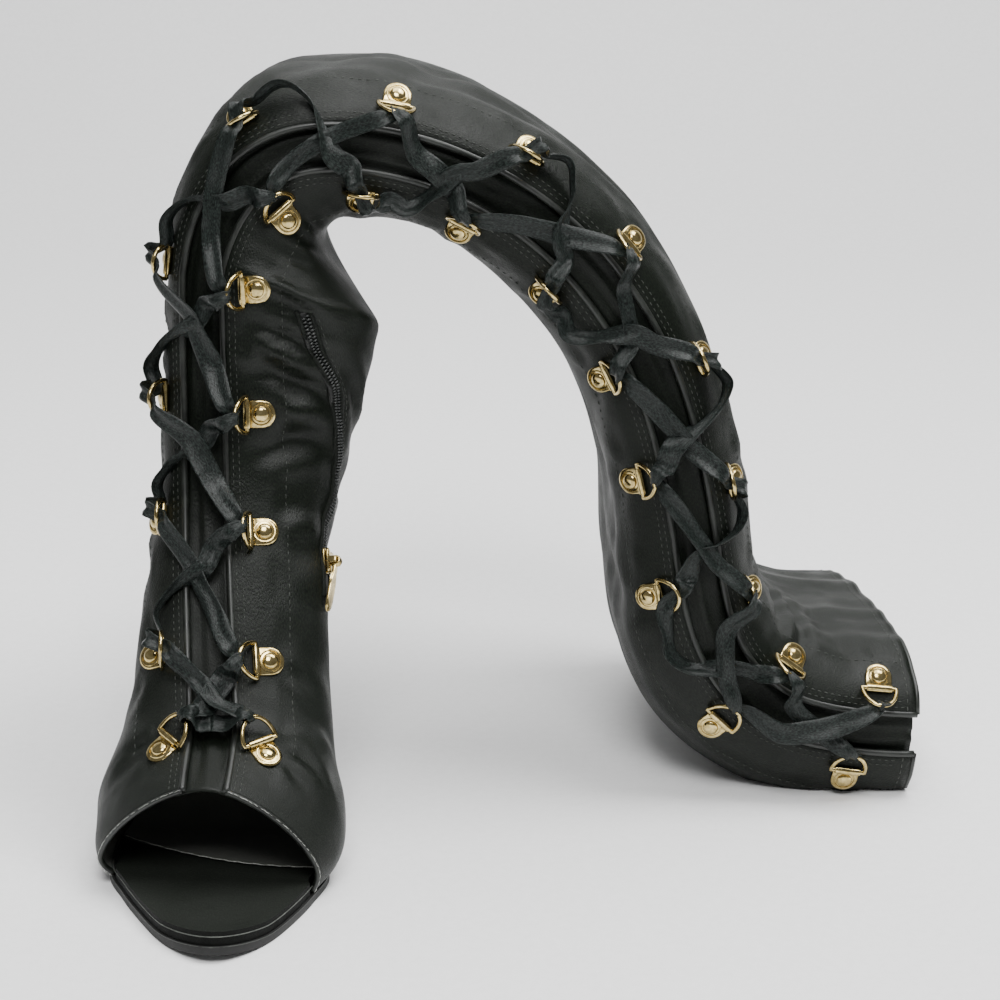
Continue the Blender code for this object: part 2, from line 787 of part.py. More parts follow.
def loop_mesh(finish):
    """A lace loop in its own axes: X away from the laced gap, Y up the leg, Z out of the satin."""
    bend = [math.radians(a) for a in np.linspace(-90, 90, 5)]
    end_x = PLATE_REACH - PLATE_HALF
    outline = [(end_x + PLATE_HALF * math.cos(a), PLATE_HALF * math.sin(a)) for a in bend]
    outline += [(0.0, PLATE_HALF), (0.0, -PLATE_HALF)]
    plate = loft([[(x, y, z) for x, y in outline] for z in (0.0, PLATE)])
    fold_points, fold_faces = rod((0, 0, FOLD), FOLD, PLATE_HALF - 0.4, 6)
    fold = [(-y, x, z) for x, y, z in fold_points], fold_faces
    around = [math.radians(a) for a in np.linspace(0, 360, 7)[:-1]]
    dome = loft(
        [
            [(end_x + r * math.cos(a), r * math.sin(a), z) for a in around]
            for r, z in ((RIVET, PLATE / 2), (RIVET * 0.9, PLATE + 0.8), (RIVET * 0.4, PLATE + 1.7))
        ]
    )
    return joined("lace_loop", [plate, fold, dome, d_ring()], finish)


def build_loops(mesh, tree):
    """Pairs of loops up the laced edges, each set just clear of the satin under its plate.

    It returns each loop's placing by its side and pair.
    """
    placings = {}
    plate_points = [v.co / MM for v in mesh.vertices if v.co.x > -0.5 * FOLD * MM]
    for pair in range(1, RING_PAIRS + 1):
        for side, word in ((-1, "outer"), (1, "inner")):
            low = pair == 1
            distance = (LOW_LOOP_AT if low else LOOP_AT)[word] * side
            ring = pair + (LOW_LOOP_RISE if low else LOOP_RISE)[word] / RING_STEP
            point, round_leg, along, outward = frame_at(ring, distance)
            turn = math.radians(LOW_LOOP_TURN[word] if low else 0.0)
            away = round_leg * side * math.cos(turn) - along * math.sin(turn)
            up = np.cross(outward, away)
            lift = GAP
            for _ in range(60):
                placing = frame_matrix(point + outward * lift, away, up, outward)
                spots = [placing @ (p * MM) / MM for p in plate_points]
                if min(clearance(tree, spot) for spot in spots) >= GAP:
                    break
                lift += 0.1
            place(f"lace_loop_{word}_{pair:02d}", mesh, placing)
            placings[word, pair] = placing
    return placings


# ---------------------------------------------------------------- the lace


def ribbon(middle, outward, halves):
    """A flat ribbon along a line of points, each with its outward direction."""
    way = unit(np.gradient(middle, axis=0))
    aside = unit(np.cross(outward, way)) * np.array(halves)[:, None]
    thick = outward * RIBBON / 2
    rows = [
        np.stack((m - a - t, m + a - t, m + a + t, m - a + t))
        for m, a, t in zip(middle, aside, thick)
    ]
    return loft(rows)


def over_gap(ring, distance, lift):
    """A point over the laced gap and its outward direction."""
    point, _, _, outward = frame_at(ring, distance)
    return point + outward * lift, outward


def loop_end(placing, ring, rise):
    """Where a crossing ends beside the tip of a loop's D, rise up the leg from its middle."""
    tilt = math.radians(LOOP_TILT)
    reach = D_DEPTH * math.cos(tilt) + D_WIRE + LOOP_CLEAR
    _, _, along, ridge_outward = frame_at(ring, 0.0)
    up = math.copysign(rise, rise * np.dot(placing.col[1][:3], along))
    beside = Vector((-reach, up, FOLD + D_DEPTH * math.sin(tilt)))
    outward = unit(np.array(placing.col[2][:3]) + ridge_outward)
    return np.array(placing @ (beside * MM)) / MM, outward


def crossing(ends, pair, side, middle_lift):
    """One ribbon from the loop on one side of a pair up to the other side of the next pair."""
    share = np.array((-0.36, 0.36))
    between = [over_gap(pair + 0.5 + s / 2, s * side * CROSS_REACH, middle_lift) for s in share]
    rows = [ends[0], *between, ends[1]]
    halves = (2.0, 3.1, 3.1, 2.0)
    return ribbon(np.array([row[0] for row in rows]), np.array([row[1] for row in rows]), halves)


def build_lace(loops, finish):
    """The bar across the lowest pair and a crossing over each step of the gap above it."""
    bar = [over_gap(1.0 + BAR_RISE / RING_STEP, x, 3.3) for x in np.linspace(*BAR_ENDS, 5)]
    middle, outward = (np.array([row[i] for row in bar]) for i in range(2))
    add_mesh("lace_bar", *ribbon(middle, outward, (1.9, 2.2, 2.3, 2.2, 1.9)), finish)
    for pair in range(1, RING_PAIRS):
        ribbons = []
        for side, start, stop, lift in ((1, "outer", "inner", 2.9), (-1, "inner", "outer", 3.8)):
            low = loop_end(loops[start, pair], pair, CROSS_START)
            if pair == 1:
                low = over_gap(1.0 + LOW_CROSS_RISE / RING_STEP, -side * CROSS_REACH, CROSS_LIFT)
            high = loop_end(loops[stop, pair + 1], pair + 1, -CROSS_START)
            ribbons.append(crossing((low, high), pair, side, lift))
        name = f"lace_cross_{pair:02d}"
        place(name, joined(name, ribbons, finish), Matrix())


# ---------------------------------------------------------------- the zip


def zip_place(ring):
    """A point of the zip's line on the satin, with its directions: across, up and outward."""
    turn_low, turn, turn_high = smooth(ZIP_LINE, [ring - 0.04, ring, ring + 0.04])[:, 0]
    front, here, behind = half_sections([ring], 1, (turn - 0.01, turn, turn + 0.01))[0]
    low = half_sections([ring - 0.04], 1, (turn_low,))[0, 0]
    high = half_sections([ring + 0.04], 1, (turn_high,))[0, 0]
    up = unit(high - low)
    outward = unit(np.cross(behind - front, up))
    return here, np.cross(up, outward), up, outward


def build_zip_chain(tree, finish):
    """A flat band over the upper, each row raised until it clears the satin all across."""
    rows = []
    for ring in np.linspace(ZIP_FROM, ZIP_TO, 15):
        here, across, _, outward = zip_place(ring)
        line = here + across * np.linspace(-ZIP_HALF, ZIP_HALF, 5)[:, None]
        lift = ZIP_LIFT - min(0.0, *(clearance(tree, spot) for spot in line))
        low, high = line + outward * lift, line + outward * (lift + ZIP_THICK)
        rows.append((low[0], low[-1], high[-1], high[0]))
    strip("zip_chain", rows, finish)


def build_slider(tree, finish):
    """The slider and its bridge, at the chain's lower end. It returns the place of its bar."""
    here, across, up, outward = zip_place(SLIDER_RING)
    body = loft(
        [
            [(-w, y, low), (w, y, low), (w, y, SLIDER_HIGH), (-w, y, SLIDER_HIGH)]
            for y, w, low in ((-4.6, 2.9, 0.5), (-2.0, 3.5, 0.0), (4.4, 4.1, 0.0))
        ]
    )
    posts = [
        block((side * 2.9 - 0.6, side * 2.9 + 0.6), (-1.1, 1.1), (SLIDER_HIGH - 0.6, BAR_HIGH + 0.7))
        for side in (-1, 1)
    ]
    bar = rod((0, 0, BAR_HIGH), BAR_RADIUS, 2.9, 8)
    mesh = joined("zip_slider", [body, *posts, bar], finish)
    lift = GAP
    for _ in range(60):
        placing = frame_matrix(here + outward * lift, across, up, outward)
        if min(clearance(tree, placing @ v.co / MM) for v in mesh.vertices) >= GAP:
            break
        lift += 0.1
    place("zip_slider", mesh, placing)
    return placing @ Matrix.Translation((0, 0, BAR_HIGH * MM))


def build_pull(hinge_placing, tree, finish):
    """The pull tab, its eye round the slider's bar, hanging down against the satin."""
    outer_ring, inner_ring = [], []
    angles = np.linspace(0, 2 * math.pi, 10, endpoint=False)
    for x in (-EYE_HALF, EYE_HALF):
        outer_ring.append([(x, EYE * math.cos(a), EYE * math.sin(a)) for a in angles])
        inner_ring.append([(x, EYE_HOLE * math.cos(a), EYE_HOLE * math.sin(a)) for a in angles])
    rings = [outer_ring[0], outer_ring[1], inner_ring[1], inner_ring[0]]
    points, faces = loft(rings + rings[:1], closed_ends=False)
    total = 4 * len(angles)
    eye = points[:total], [tuple(i % total for i in face) for face in faces]
    tab = loft(
        [
            [(-w, y, -PULL / 2), (w, y, -PULL / 2), (w, y, PULL / 2), (-w, y, PULL / 2)]
            for y, w in ((-1.35, 1.7), (-4.5, 2.3), (-17.0, 3.1), (-19.6, 2.6), (-20.8, 1.2))
        ]
    )
    mesh = joined("zip_pull", [eye, tab], finish)
    hinge = bpy.data.objects.new("zip_pull_hinge", None)
    hinge.empty_display_size = 0.01
    bpy.context.scene.collection.objects.link(hinge)
    down = hinge_placing.to_3x3().inverted() @ Vector((0, 0, -1))
    hang = math.atan2(-down.z, -down.y)
    for _ in range(60):
        placing = hinge_placing @ Matrix.Rotation(hang, 4, "X")
        if min(clearance(tree, placing @ v.co / MM) for v in mesh.vertices) >= 2 * GAP:
            break
        hang += math.radians(-1.0)
    hinge.matrix_world = placing
    pull = place("zip_pull", mesh, hinge.matrix_world)
    pull.parent = hinge
    pull.matrix_parent_inverse = hinge.matrix_world.inverted()


# ---------------------------------------------------------------- the build


def main():
    for old in list(bpy.data.objects):
        bpy.data.objects.remove(old, do_unlink=True)
    satin = material("black_satin", (0.012, 0.013, 0.012), 0.38)
    ribbon_satin = material("ribbon_satin", (0.015, 0.016, 0.016), 0.32)
    sole_board = material("black_sole", (0.010, 0.010, 0.010), 0.6)
    lining = material("lining", (0.02, 0.02, 0.019), 0.8)
    rubber = material("heel_rubber", (0.01, 0.01, 0.01), 0.7)
    coil = material("zip_coil", (0.014, 0.014, 0.014), 0.45)
    gold = material("gold_plate", (0.75, 0.55, 0.22), 0.22, 1.0)

    build_outsole(sole_board)
    build_footbed(satin)
    build_insole(lining)
    build_heel(satin)
    build_heel_tip(rubber)
    upper = build_upper(satin)
    build_tongue(satin)
    tree = evaluated_tree(upper)
    loops = build_loops(loop_mesh(gold), tree)
    build_lace(loops, ribbon_satin)
    build_zip_chain(tree, coil)
    build_pull(build_slider(tree, gold), tree, gold)


main()
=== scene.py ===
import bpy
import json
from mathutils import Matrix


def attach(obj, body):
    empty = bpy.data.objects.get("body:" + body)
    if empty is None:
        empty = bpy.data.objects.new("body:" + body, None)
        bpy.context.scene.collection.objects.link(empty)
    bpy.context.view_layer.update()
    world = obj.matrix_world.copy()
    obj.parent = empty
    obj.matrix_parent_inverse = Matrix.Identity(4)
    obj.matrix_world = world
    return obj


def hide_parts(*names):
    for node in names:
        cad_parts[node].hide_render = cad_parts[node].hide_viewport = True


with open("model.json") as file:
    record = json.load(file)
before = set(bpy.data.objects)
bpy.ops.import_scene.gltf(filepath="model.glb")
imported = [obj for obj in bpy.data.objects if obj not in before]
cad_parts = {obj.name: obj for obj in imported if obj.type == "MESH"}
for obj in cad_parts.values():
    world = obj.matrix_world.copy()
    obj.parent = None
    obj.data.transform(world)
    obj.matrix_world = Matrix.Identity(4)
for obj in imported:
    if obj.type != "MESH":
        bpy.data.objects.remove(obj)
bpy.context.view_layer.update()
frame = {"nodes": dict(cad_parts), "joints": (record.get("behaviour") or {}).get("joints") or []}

# The right boot of a pair in black satin: open toe, laced over the knee through gold loops, its
# slack shaft bent over to the inner side. +X is the inner side, +Y the heel, +Z up. Lengths are
# millimetres unless a name says otherwise, and MM turns them to metres. The tables and curves that
# the solids were made from are repeated here, so that every piece lies where its solid does.
# A ring is a place along the leg, counted in lace loops from the lowest pair, which is 1.

import json
import math

import bmesh
import bpy
import numpy as np
from mathutils import Matrix, Vector, noise
from mathutils.bvhtree import BVHTree

MM = 0.001
BODY, PULL_BODY = "boot", "zip_pull"
SIDES = ((-1, "outer"), (1, "inner"))

GAP, WALL = 0.35, 2.0
OUTSOLE, OUTSOLE_BACK = 3.2, 3.0
FOOTBED, FOOTBED_BACK = 4.8, 4.0
INSOLE, INSOLE_BOW = 1.2, 6.0
DISH = 0.5  # how far the middle of footbed and insole lies below their edges
FOOTBED_INSET, INSIDE_INSET, HEEL_INSET = 0.9, 3.2, 4.6
UPPER_INSET, UPPER_LIFT = 0.5, 0.6
LACE_GAP = 9.0  # half the width of the laced gap
TONGUE_HALF, TONGUE_TIP_HALF, TONGUE = 21.0, 12.5, 0.9
HEEL_TIP, HEEL_TIP_HALF, HEEL_TIP_AT = 4.0, (5.0, 5.5), (2.0, 116.0)
BREAST_Y = 86.0  # the front face of the heel

# The sole's underside from the tip of the toe to the back of the heel seat: y, z, outer, inner.
SOLE = (
    (-76.6, 3.2, 5, 5), (-76, 3.1, 1.4, 8.6), (-73.6, 2.5, -3, 12.8), (-68.4, 1.4, -9.2, 18.4),
    (-59.2, 0.2, -16.6, 25), (-45, 0, -25, 31.6), (-28, 0, -33.7, 37.6), (-8, 0, -41.6, 42.2),
    (12, 0, -42.3, 38.2), (28, 6.5, -38.3, 32.6), (43, 21, -32.8, 27.8), (57, 41, -28.2, 24.6),
    (70, 60, -25.4, 23.4), (83, 76.5, -24.4, 23.6), (97, 88, -24.6, 25), (111, 93.8, -22.8, 25.2),
    (121, 96.2, -18, 21.6), (127, 97.4, -11.5, 15.4), (129.6, 97.9, -4.5, 8.7),
    (130.2, 98, 2.2, 2.2),
)
# The ridge down the middle of the laced gap: ring, x, y, z.
RIDGE = (
    (0, -2.2, -31, 49), (0.5, -2.1, -17, 53.5), (1, -2.1, -3, 59), (1.5, -3.3, 8.5, 68.5),
    (2, -5.1, 19, 82), (2.5, -7.4, 33.5, 101.5), (3, -9.5, 49, 123.5), (3.5, -10.8, 58.5, 145),
    (4, -11.5, 64.4, 167.5), (4.5, -12.2, 68.5, 192), (5, -12.5, 71.3, 216.5),
)
TOP_RING, COLLAR = RIDGE[-1][0], 14.45
# How far past the vertical the slack ridge leans: ring, degrees.
BEND = (
    (5, 8), (5.5, 26), (6, 54), (6.6, 88), (7.4, 107), (8.4, 126), (9.6, 148), (10.8, 166),
    (11.7, 170), (12.3, 160), (13, 130), (13.6, 104), (14.45, 91),
)
BEND_TOWARDS, BACK_LEAN = 5.0, 6.5
# Where each section of the foot meets the edge of the sole: ring, outer y, inner y.
FEATHER = (
    (0, -14, -26), (0.5, -3, -14.5), (1, 8.5, -2), (1.5, 25, 15), (2, 46, 37), (2.5, 72, 65),
    (3, 99, 95), (3.25, 117, 115), (3.5, 130.2, 130.2),
)
CLOSED = FEATHER[-1][0]
# The back of the boot above the heel seat: ring, x, y, z.
BACK = (
    (3.75, 2.4, 135, 112.5), (4, 2.6, 135.6, 128), (4.5, 3, 133.5, 155), (5, 5, 142, 184),
)
# The slack shaft's back: ring, depth, turn in degrees, how far it trails the ridge.
SLACK = (
    (5.5, 92, 8, 20), (6, 106, 3, 12), (7, 124, -3, 2), (8, 134, -5, 0), (10, 146, -5, 0),
    (12, 156, -5, 2), (14.45, 166, -6, 6),
)
# Each section: ring, outer and inner swell, where it is widest, how square its front and back
# halves are, how far its curve turns in at the end.
GIRTH = (
    (0, 43.5, 41.5, 0.82, 1.5, 2, 46), (0.5, 46.5, 47, 0.78, 1.75, 2, 48),
    (1, 47, 49, 0.72, 1.95, 2, 48), (2, 35.5, 43.5, 0.58, 2.1, 2, 50),
    (3, 28.5, 40.5, 0.5, 2.1, 2, 62), (3.5, 26.5, 43, 0.48, 2.2, 2.2, 90),
    (4, 24, 49.5, 0.46, 2.2, 2.3, 90), (4.5, 22.5, 57, 0.46, 2.2, 2.2, 90),
    (5, 22, 62, 0.46, 2.2, 2.1, 90), (5.5, 24, 53, 0.42, 2.25, 2.2, 90),
    (6, 26, 44, 0.38, 2.3, 2.4, 90), (7, 28, 32, 0.33, 2.4, 2.5, 90),
    (8, 27, 30, 0.3, 2.4, 2.6, 90), (11, 26, 28, 0.27, 2.4, 2.6, 90),
    (12, 26, 34, 0.26, 2.4, 2.6, 90), (13, 27, 41, 0.26, 2.4, 2.6, 90),
    (14.45, 30, 43, 0.25, 2.3, 2.5, 90),
)
# How far the tongue lies under the upper's inside: ring, depth.
TONGUE_DROP = (
    (0, 0.8), (4.2, 0.8), (4.9, 2.2), (5.5, 3), (6.2, 2.6), (7.2, 1.4), (11.6, 1.4), (12.8, 2.6),
    (14.45, 2.2),
)

RING_PAIRS, RING_STEP = 14, 48.0
# A loop's folded bar, from the ridge and above its ring; the lowest pair sits lower and turned.
LOOP_AT, LOOP_RISE = {"outer": 18.5, "inner": 17.5}, {"outer": 4.5, "inner": -3.5}
LOW_LOOP_AT, LOW_LOOP_RISE = {"outer": 15.5, "inner": 18.5}, {"outer": -4.0, "inner": -5.5}
LOW_LOOP_TURN = {"outer": 42.0, "inner": 52.0}
PLATE, PLATE_HALF, PLATE_REACH = 0.9, 5.5, 11.0
FOLD, RIVET, RIVET_RIM = 1.6, 3.1, 4.1
D_WIRE, D_HALF, D_DEPTH = 0.88, 7.1, 9.8

# The zip's line: ring, and how far round the inner side it is, 0.5 being the widest place.
ZIP_LINE = (
    (2.7, 0.485), (3.1, 0.49), (3.45, 0.49), (3.66, 0.475), (3.9, 0.435), (4.2, 0.37), (4.5, 0.27),
    (4.8, 0.215),
)
TAPE_FROM, COIL_FROM, ZIP_TO = 2.64, 2.9, 4.78
SLIDER_RING = 2.86
BAR_HIGH = 4.8  # the slider's bar above its sole


# ---------------------------------------------------------------- curves


def between(at, run, rows):
    """Rows of numbers at in-between places of a run."""
    return np.stack([np.interp(at, run, column) for column in rows.T], axis=-1)


def cubic(knots, values, tangent, at):
    """Rows of values at in-between places, by a cubic between each two knots."""
    row = np.clip(np.searchsorted(knots, at, side="right") - 1, 0, len(knots) - 2)
    h = (knots[row + 1] - knots[row])[..., None]
    t = (at - knots[row])[..., None] / h
    return (
        (2 * t**3 - 3 * t**2 + 1) * values[row]
        + (t**3 - 2 * t**2 + t) * h * tangent[row]
        + (3 * t**2 - 2 * t**3) * values[row + 1]
        + (t**3 - t**2) * h * tangent[row + 1]
    )


def smooth(table, at):
    """The rows of a table at in-between places, with no overshoot."""
    table = np.asarray(table, float)
    knots, values = table[:, 0], table[:, 1:]
    step = np.diff(knots)[:, None]
    slope = np.diff(values, axis=0) / step
    tangent = np.concatenate((slope[:1], np.zeros_like(slope[1:]), slope[-1:]))
    near, far = slope[:-1], slope[1:]
    weight_near, weight_far = 2 * step[1:] + step[:-1], step[1:] + 2 * step[:-1]
    same_way = near * far > 0
    safe_near, safe_far = np.where(same_way, near, 1.0), np.where(same_way, far, 1.0)
    mean = (weight_near + weight_far) / (weight_near / safe_near + weight_far / safe_far)
    tangent[1:-1] = np.where(same_way, mean, 0.0)
    return cubic(knots, values, tangent, np.clip(np.asarray(at, float), knots[0], knots[-1]))


def unit(vectors):
    vectors = np.asarray(vectors, float)
    return vectors / np.maximum(np.linalg.norm(vectors, axis=-1, keepdims=True), 1e-12)


def travelled(points):
    """How far along a line of points each one is."""
    steps = np.linalg.norm(np.diff(points, axis=0), axis=1)
    return np.concatenate(([0.0], np.cumsum(steps)))


def ease(values, low, high):
    """0 below low and 1 above high, with a soft step between."""
    share = np.clip((values - low) / (high - low), 0, 1)
    return share * share * (3 - 2 * share)


def arch(share):
    """0 at both ends and 1 in the middle."""
    return 4 * share * (1 - share)


def around(count):
    return np.linspace(0, 2 * math.pi, count, endpoint=False)


def arc(reach, angles, z=0.0, middle=(0.0, 0.0)):
    """Points round a middle at one height; reach is one radius, or one each way."""
    across, up = np.broadcast_to(reach, 2)
    x, y = middle[0] + across * np.cos(angles), middle[1] + up * np.sin(angles)
    return np.column_stack((x, y, 0 * angles + z))


def sole_curves():
    """The sole finely: how far along it each row is, and y, z, outer, inner and its way up."""
    numbered = [(row, *values) for row, values in enumerate(SOLE)]
    rows = smooth(numbered, np.linspace(0, len(SOLE) - 1, 1200))
    tangent = unit(np.gradient(rows[:, :2], axis=0))
    return travelled(rows[:, :2]), np.column_stack((rows, -tangent[:, 1], tangent[:, 0]))


LAST_RUN, LAST = sole_curves()
SOLE_LENGTH = LAST_RUN[-1]
EDGE_STEP = 0.4


def length_at(y):
    return np.interp(y, LAST[:, 0], LAST_RUN)


def on_last(length, x, lift):
    """A point over the sole: so far along it, at x, lifted square to its underside."""
    y, z, _, _, up_y, up_z = np.moveaxis(between(length, LAST_RUN, LAST), -1, 0)
    return np.stack((np.broadcast_to(x, np.shape(y)), y + up_y * lift, z + up_z * lift), axis=-1)


def sole_edge(length, side, inset):
    """The sole's edge on one side, drawn in by inset: how far along it is, and its x."""
    edge = LAST[:, 2 if side < 0 else 3]
    x, ahead, behind = (np.interp(length + d, LAST_RUN, edge) for d in (0, EDGE_STEP, -EDGE_STEP))
    run = np.minimum(length + EDGE_STEP, SOLE_LENGTH) - np.maximum(length - EDGE_STEP, 0.0)
    slope = (ahead - behind) / run
    size = np.hypot(1.0, slope)
    return length + side * slope / size * inset, x - side * inset / size


def thickness_at(length, front, back):
    return front + (back - front) * ease(length, length_at(-10.0), length_at(60.0))


def outsole_top(length):
    return thickness_at(length, OUTSOLE, OUTSOLE_BACK)


def footbed_top(length):
    return outsole_top(length) + GAP + thickness_at(length, FOOTBED, FOOTBED_BACK)


def ridge_curve():
    foot_rings = np.linspace(0.0, TOP_RING, 400)
    foot = smooth(RIDGE, foot_rings)
    slack_rings = np.linspace(TOP_RING, COLLAR, 800)[1:]
    lean = np.radians(smooth(BEND, slack_rings)[:, 0])
    towards, back = math.radians(BEND_TOWARDS), math.tan(math.radians(BACK_LEAN))
    y = np.sin(lean) * math.sin(towards) + np.cos(lean) * back
    way = unit(np.column_stack((np.sin(lean) * math.cos(towards), y, np.cos(lean))))
    slack = foot[-1] + np.cumsum(way * (slack_rings[1] - slack_rings[0]) * RING_STEP, axis=0)
    return np.concatenate((foot_rings, slack_rings)), np.concatenate((foot, slack))


RIDGE_RINGS, RIDGE_POINTS = ridge_curve()


def ridge_at(rings):
    return between(rings, RIDGE_RINGS, RIDGE_POINTS)


def ridge_heading(rings):
    return unit(ridge_at(np.minimum(rings + 0.1, COLLAR)) - ridge_at(np.maximum(rings - 0.1, 0.0)))


def slack_back(rings):
    depth, turn, trail = smooth(SLACK, rings).T
    turn = np.radians(turn)
    away = np.column_stack((np.sin(turn), np.cos(turn), 0 * turn))
    return ridge_at(rings) + away * depth[:, None] - ridge_heading(rings) * trail[:, None]


def back_curve():
    seat = on_last(SOLE_LENGTH, LAST[-1, 2], outsole_top(SOLE_LENGTH) + UPPER_LIFT)
    slack_rings = np.linspace(SLACK[0][0], COLLAR, 19)
    rows = [(CLOSED, *seat), *BACK]
    rows += [(ring, *point) for ring, point in zip(slack_rings, slack_back(slack_rings))]
    rings = np.linspace(CLOSED, COLLAR, 600)
    return rings, smooth(rows, rings)


BACK_RINGS, BACK_POINTS = back_curve()


def ends_at(rings, side):
    """Where each half section ends: at the sole's edge, or at the back above the heel seat."""
    feather = smooth(FEATHER, rings)[:, 0 if side < 0 else 1]
    length, x = sole_edge(length_at(feather), side, UPPER_INSET)
    on_sole = on_last(length, x, outsole_top(length) + UPPER_LIFT)
    return np.where((rings < CLOSED)[:, None], on_sole, between(rings, BACK_RINGS, BACK_POINTS))


def half_sections(rings, side, turns):
    """The outside of the upper, a row for each ring: turns run from the ridge to the back."""
    rings = np.atleast_1d(np.asarray(rings, float))
    ridge, ends = ridge_at(rings), ends_at(rings, side)
    middle = (ends_at(rings, -1) + ends_at(rings, 1)) / 2
    across = unit(np.cross(middle - ridge, ridge_heading(rings)))
    outer, inner, widest, front_power, back_power, curl = smooth(GIRTH, rings).T[..., None]
    width = np.where(side < 0, outer, inner)
    reach = side * np.sum((ends - ridge) * across, axis=1)[:, None]
    depth = (ends - ridge) - side * reach * across
    turns, curl = np.asarray(turns, float)[None, :], np.radians(curl)
    front = np.clip(turns * 2, 0, 1) * math.pi / 2
    back = np.clip(turns * 2 - 1, 0, 1) * curl
    front_power, back_power = 2 / front_power, 2 / back_power
    front_cos, back_cos = np.cos(front).clip(0, 1), np.cos(back).clip(0, 1)
    last_cos = np.cos(curl).clip(0, 1) ** back_power
    down = widest * (1 - front_cos**front_power)
    down = down + (1 - widest) * (np.sin(back) / np.sin(curl)) ** back_power
    close = (back_cos**back_power - last_cos) / (1 - last_cos)
    out = np.where(turns < 0.5, width * np.sin(front) ** front_power, reach + (width - reach) * close)
    points = ridge[:, None] + down[..., None] * depth[:, None]
    points = points + (side * out)[..., None] * across[:, None]
    points[..., 2] = np.maximum(points[..., 2], 0.0)
    return points


SECTION_TURNS = np.linspace(0, 1, 161) ** 1.5


def walk_round(rings, distances):
    """Points on the outside, so far round from the ridge: negative is the outer side."""
    distances = np.asarray(distances, float)
    found = np.zeros((len(rings), len(distances), 3))
    for side, mine in ((-1, distances <= 0), (1, distances > 0)):
        for i, line in enumerate(half_sections(rings, side, SECTION_TURNS)):
            found[i, mine] = between(np.abs(distances[mine]), travelled(line), line)
    return found


def frame_at(ring, distance):
    """A point on the outside with its directions: away round the leg, along it and outward."""
    point = walk_round([ring], [distance])[0, 0]
    outer, inner = walk_round([ring], [distance - 1.5, distance + 1.5])[0]
    low, high = walk_round([ring - 0.03, ring + 0.03], [distance])[:, 0]
    along = unit(high - low)
    outward = unit(np.cross(inner - outer, along))
    return point, np.cross(along, outward), along, outward


# ---------------------------------------------------------------- camera and light

CAMERA_AT, CAMERA_TO = (0.1121, -0.8935, 0.4359), (0.1046, 0.1000, 0.1190)  # metres
CAMERA_LENS, CAMERA_ROLL = 92.0, 0.76
# Soft boxes that face the boot: name, place in metres, size in metres, watts.
LIGHTS = (
    ("key", (0.8, 0.1, 1.6), 0.8, 23.0),
    ("front", (0.1, -0.9, 1.5), 0.7, 23.0),
    ("top", (0.1, 0.4, 1.8), 1.4, 27.0),
)
LIGHTS_TO, SKY, SKY_STRENGTH = (0.08, 0.05, 0.12), "#f4f5f5", 0.24


def srgb(code):
    """An sRGB hex colour as linear red, green, blue and alpha."""
    parts = [int(code[i : i + 2], 16) / 255 for i in (1, 3, 5)]
    return (*(c / 12.92 if c <= 0.04045 else ((c + 0.055) / 1.055) ** 2.4 for c in parts), 1)


def aimed(name, data, place, target, roll=0.0):
    """A camera or light set down in the scene, facing its target."""
    made = bpy.data.objects.new(name, data)
    bpy.context.scene.collection.objects.link(made)
    aim = (Vector(target) - Vector(place)).to_track_quat("-Z", "Y").to_matrix()
    turned = aim @ Matrix.Rotation(math.radians(roll), 3, "Z")
    made.matrix_world = Matrix.Translation(place) @ turned.to_4x4()
    return made


def add_camera_and_light():
    data = bpy.data.cameras.new("camera")
    data.lens = CAMERA_LENS
    camera = aimed("camera", data, CAMERA_AT, CAMERA_TO, CAMERA_ROLL)
    bpy.context.scene.camera = camera
    world = bpy.data.worlds.new("studio")
    bpy.context.scene.world = world
    world.use_nodes = True
    background = world.node_tree.nodes["Background"]
    background.inputs["Color"].default_value = srgb(SKY)
    background.inputs["Strength"].default_value = SKY_STRENGTH
    for name, place, size, watts in LIGHTS:
        data = bpy.data.lights.new(name, "AREA")
        data.size, data.energy = size, watts
        aimed(name, data, place, LIGHTS_TO)


# ---------------------------------------------------------------- materials


def add_node(tree, kind, settings=(), links=()):
    """A shader node with its settings and the outputs that feed its inputs."""
    made = tree.nodes.new(kind)
    for name, value in dict(settings).items():
        if name in made.inputs:
            made.inputs[name].default_value = value
        else:
            setattr(made, name, value)
    for socket, output in dict(links).items():
        tree.links.new(output, made.inputs[socket])
    return made


def dressed(name, values, weave):
    """A material with its shader's own values set and its patterns joined to it.

    weave takes the node tree and gives: two sRGB colours; the pattern that turns one to the other,
    and where it starts and ends; the pattern that turns the roughness, and its least and most;
    reliefs as (pattern, strength, depth in millimetres); and more of the shader's inputs.
    """
    made = bpy.data.materials.new(name)
    made.use_nodes = True
    tree = made.node_tree
    shader = tree.nodes["Principled BSDF"]
    for key, value in values.items():
        shader.inputs[key].default_value = value
    colours, turned, gloss, reliefs, more = weave(tree)
    pattern, low, high = turned
    tone = add_node(tree, "ShaderNodeMapRange", {"From Min": low, "From Max": high}, {"Value": pattern})
    dark, lit = (srgb(code) for code in colours)
    mixed = {"Fac": tone.outputs["Result"]}
    colour = add_node(tree, "ShaderNodeMixRGB", {"Color1": dark, "Color2": lit}, mixed)
    pattern, low, high = gloss
    spread = {"From Min": 0.3, "From Max": 0.7, "To Min": low, "To Max": high}
    rough = add_node(tree, "ShaderNodeMapRange", spread, {"Value": pattern})
    under = {}
    for pattern, strength, depth in reliefs:
        settings = {"Strength": strength, "Distance": depth * MM}
        relief = add_node(tree, "ShaderNodeBump", settings, {"Height": pattern, **under})
        under = {"Normal": relief.outputs["Normal"]}
    joined = {"Base Color": colour.outputs["Color"], "Roughness": rough.outputs["Result"], **under}
    for socket, output in {**joined, **more}.items():
        tree.links.new(output, shader.inputs[socket])
    return made


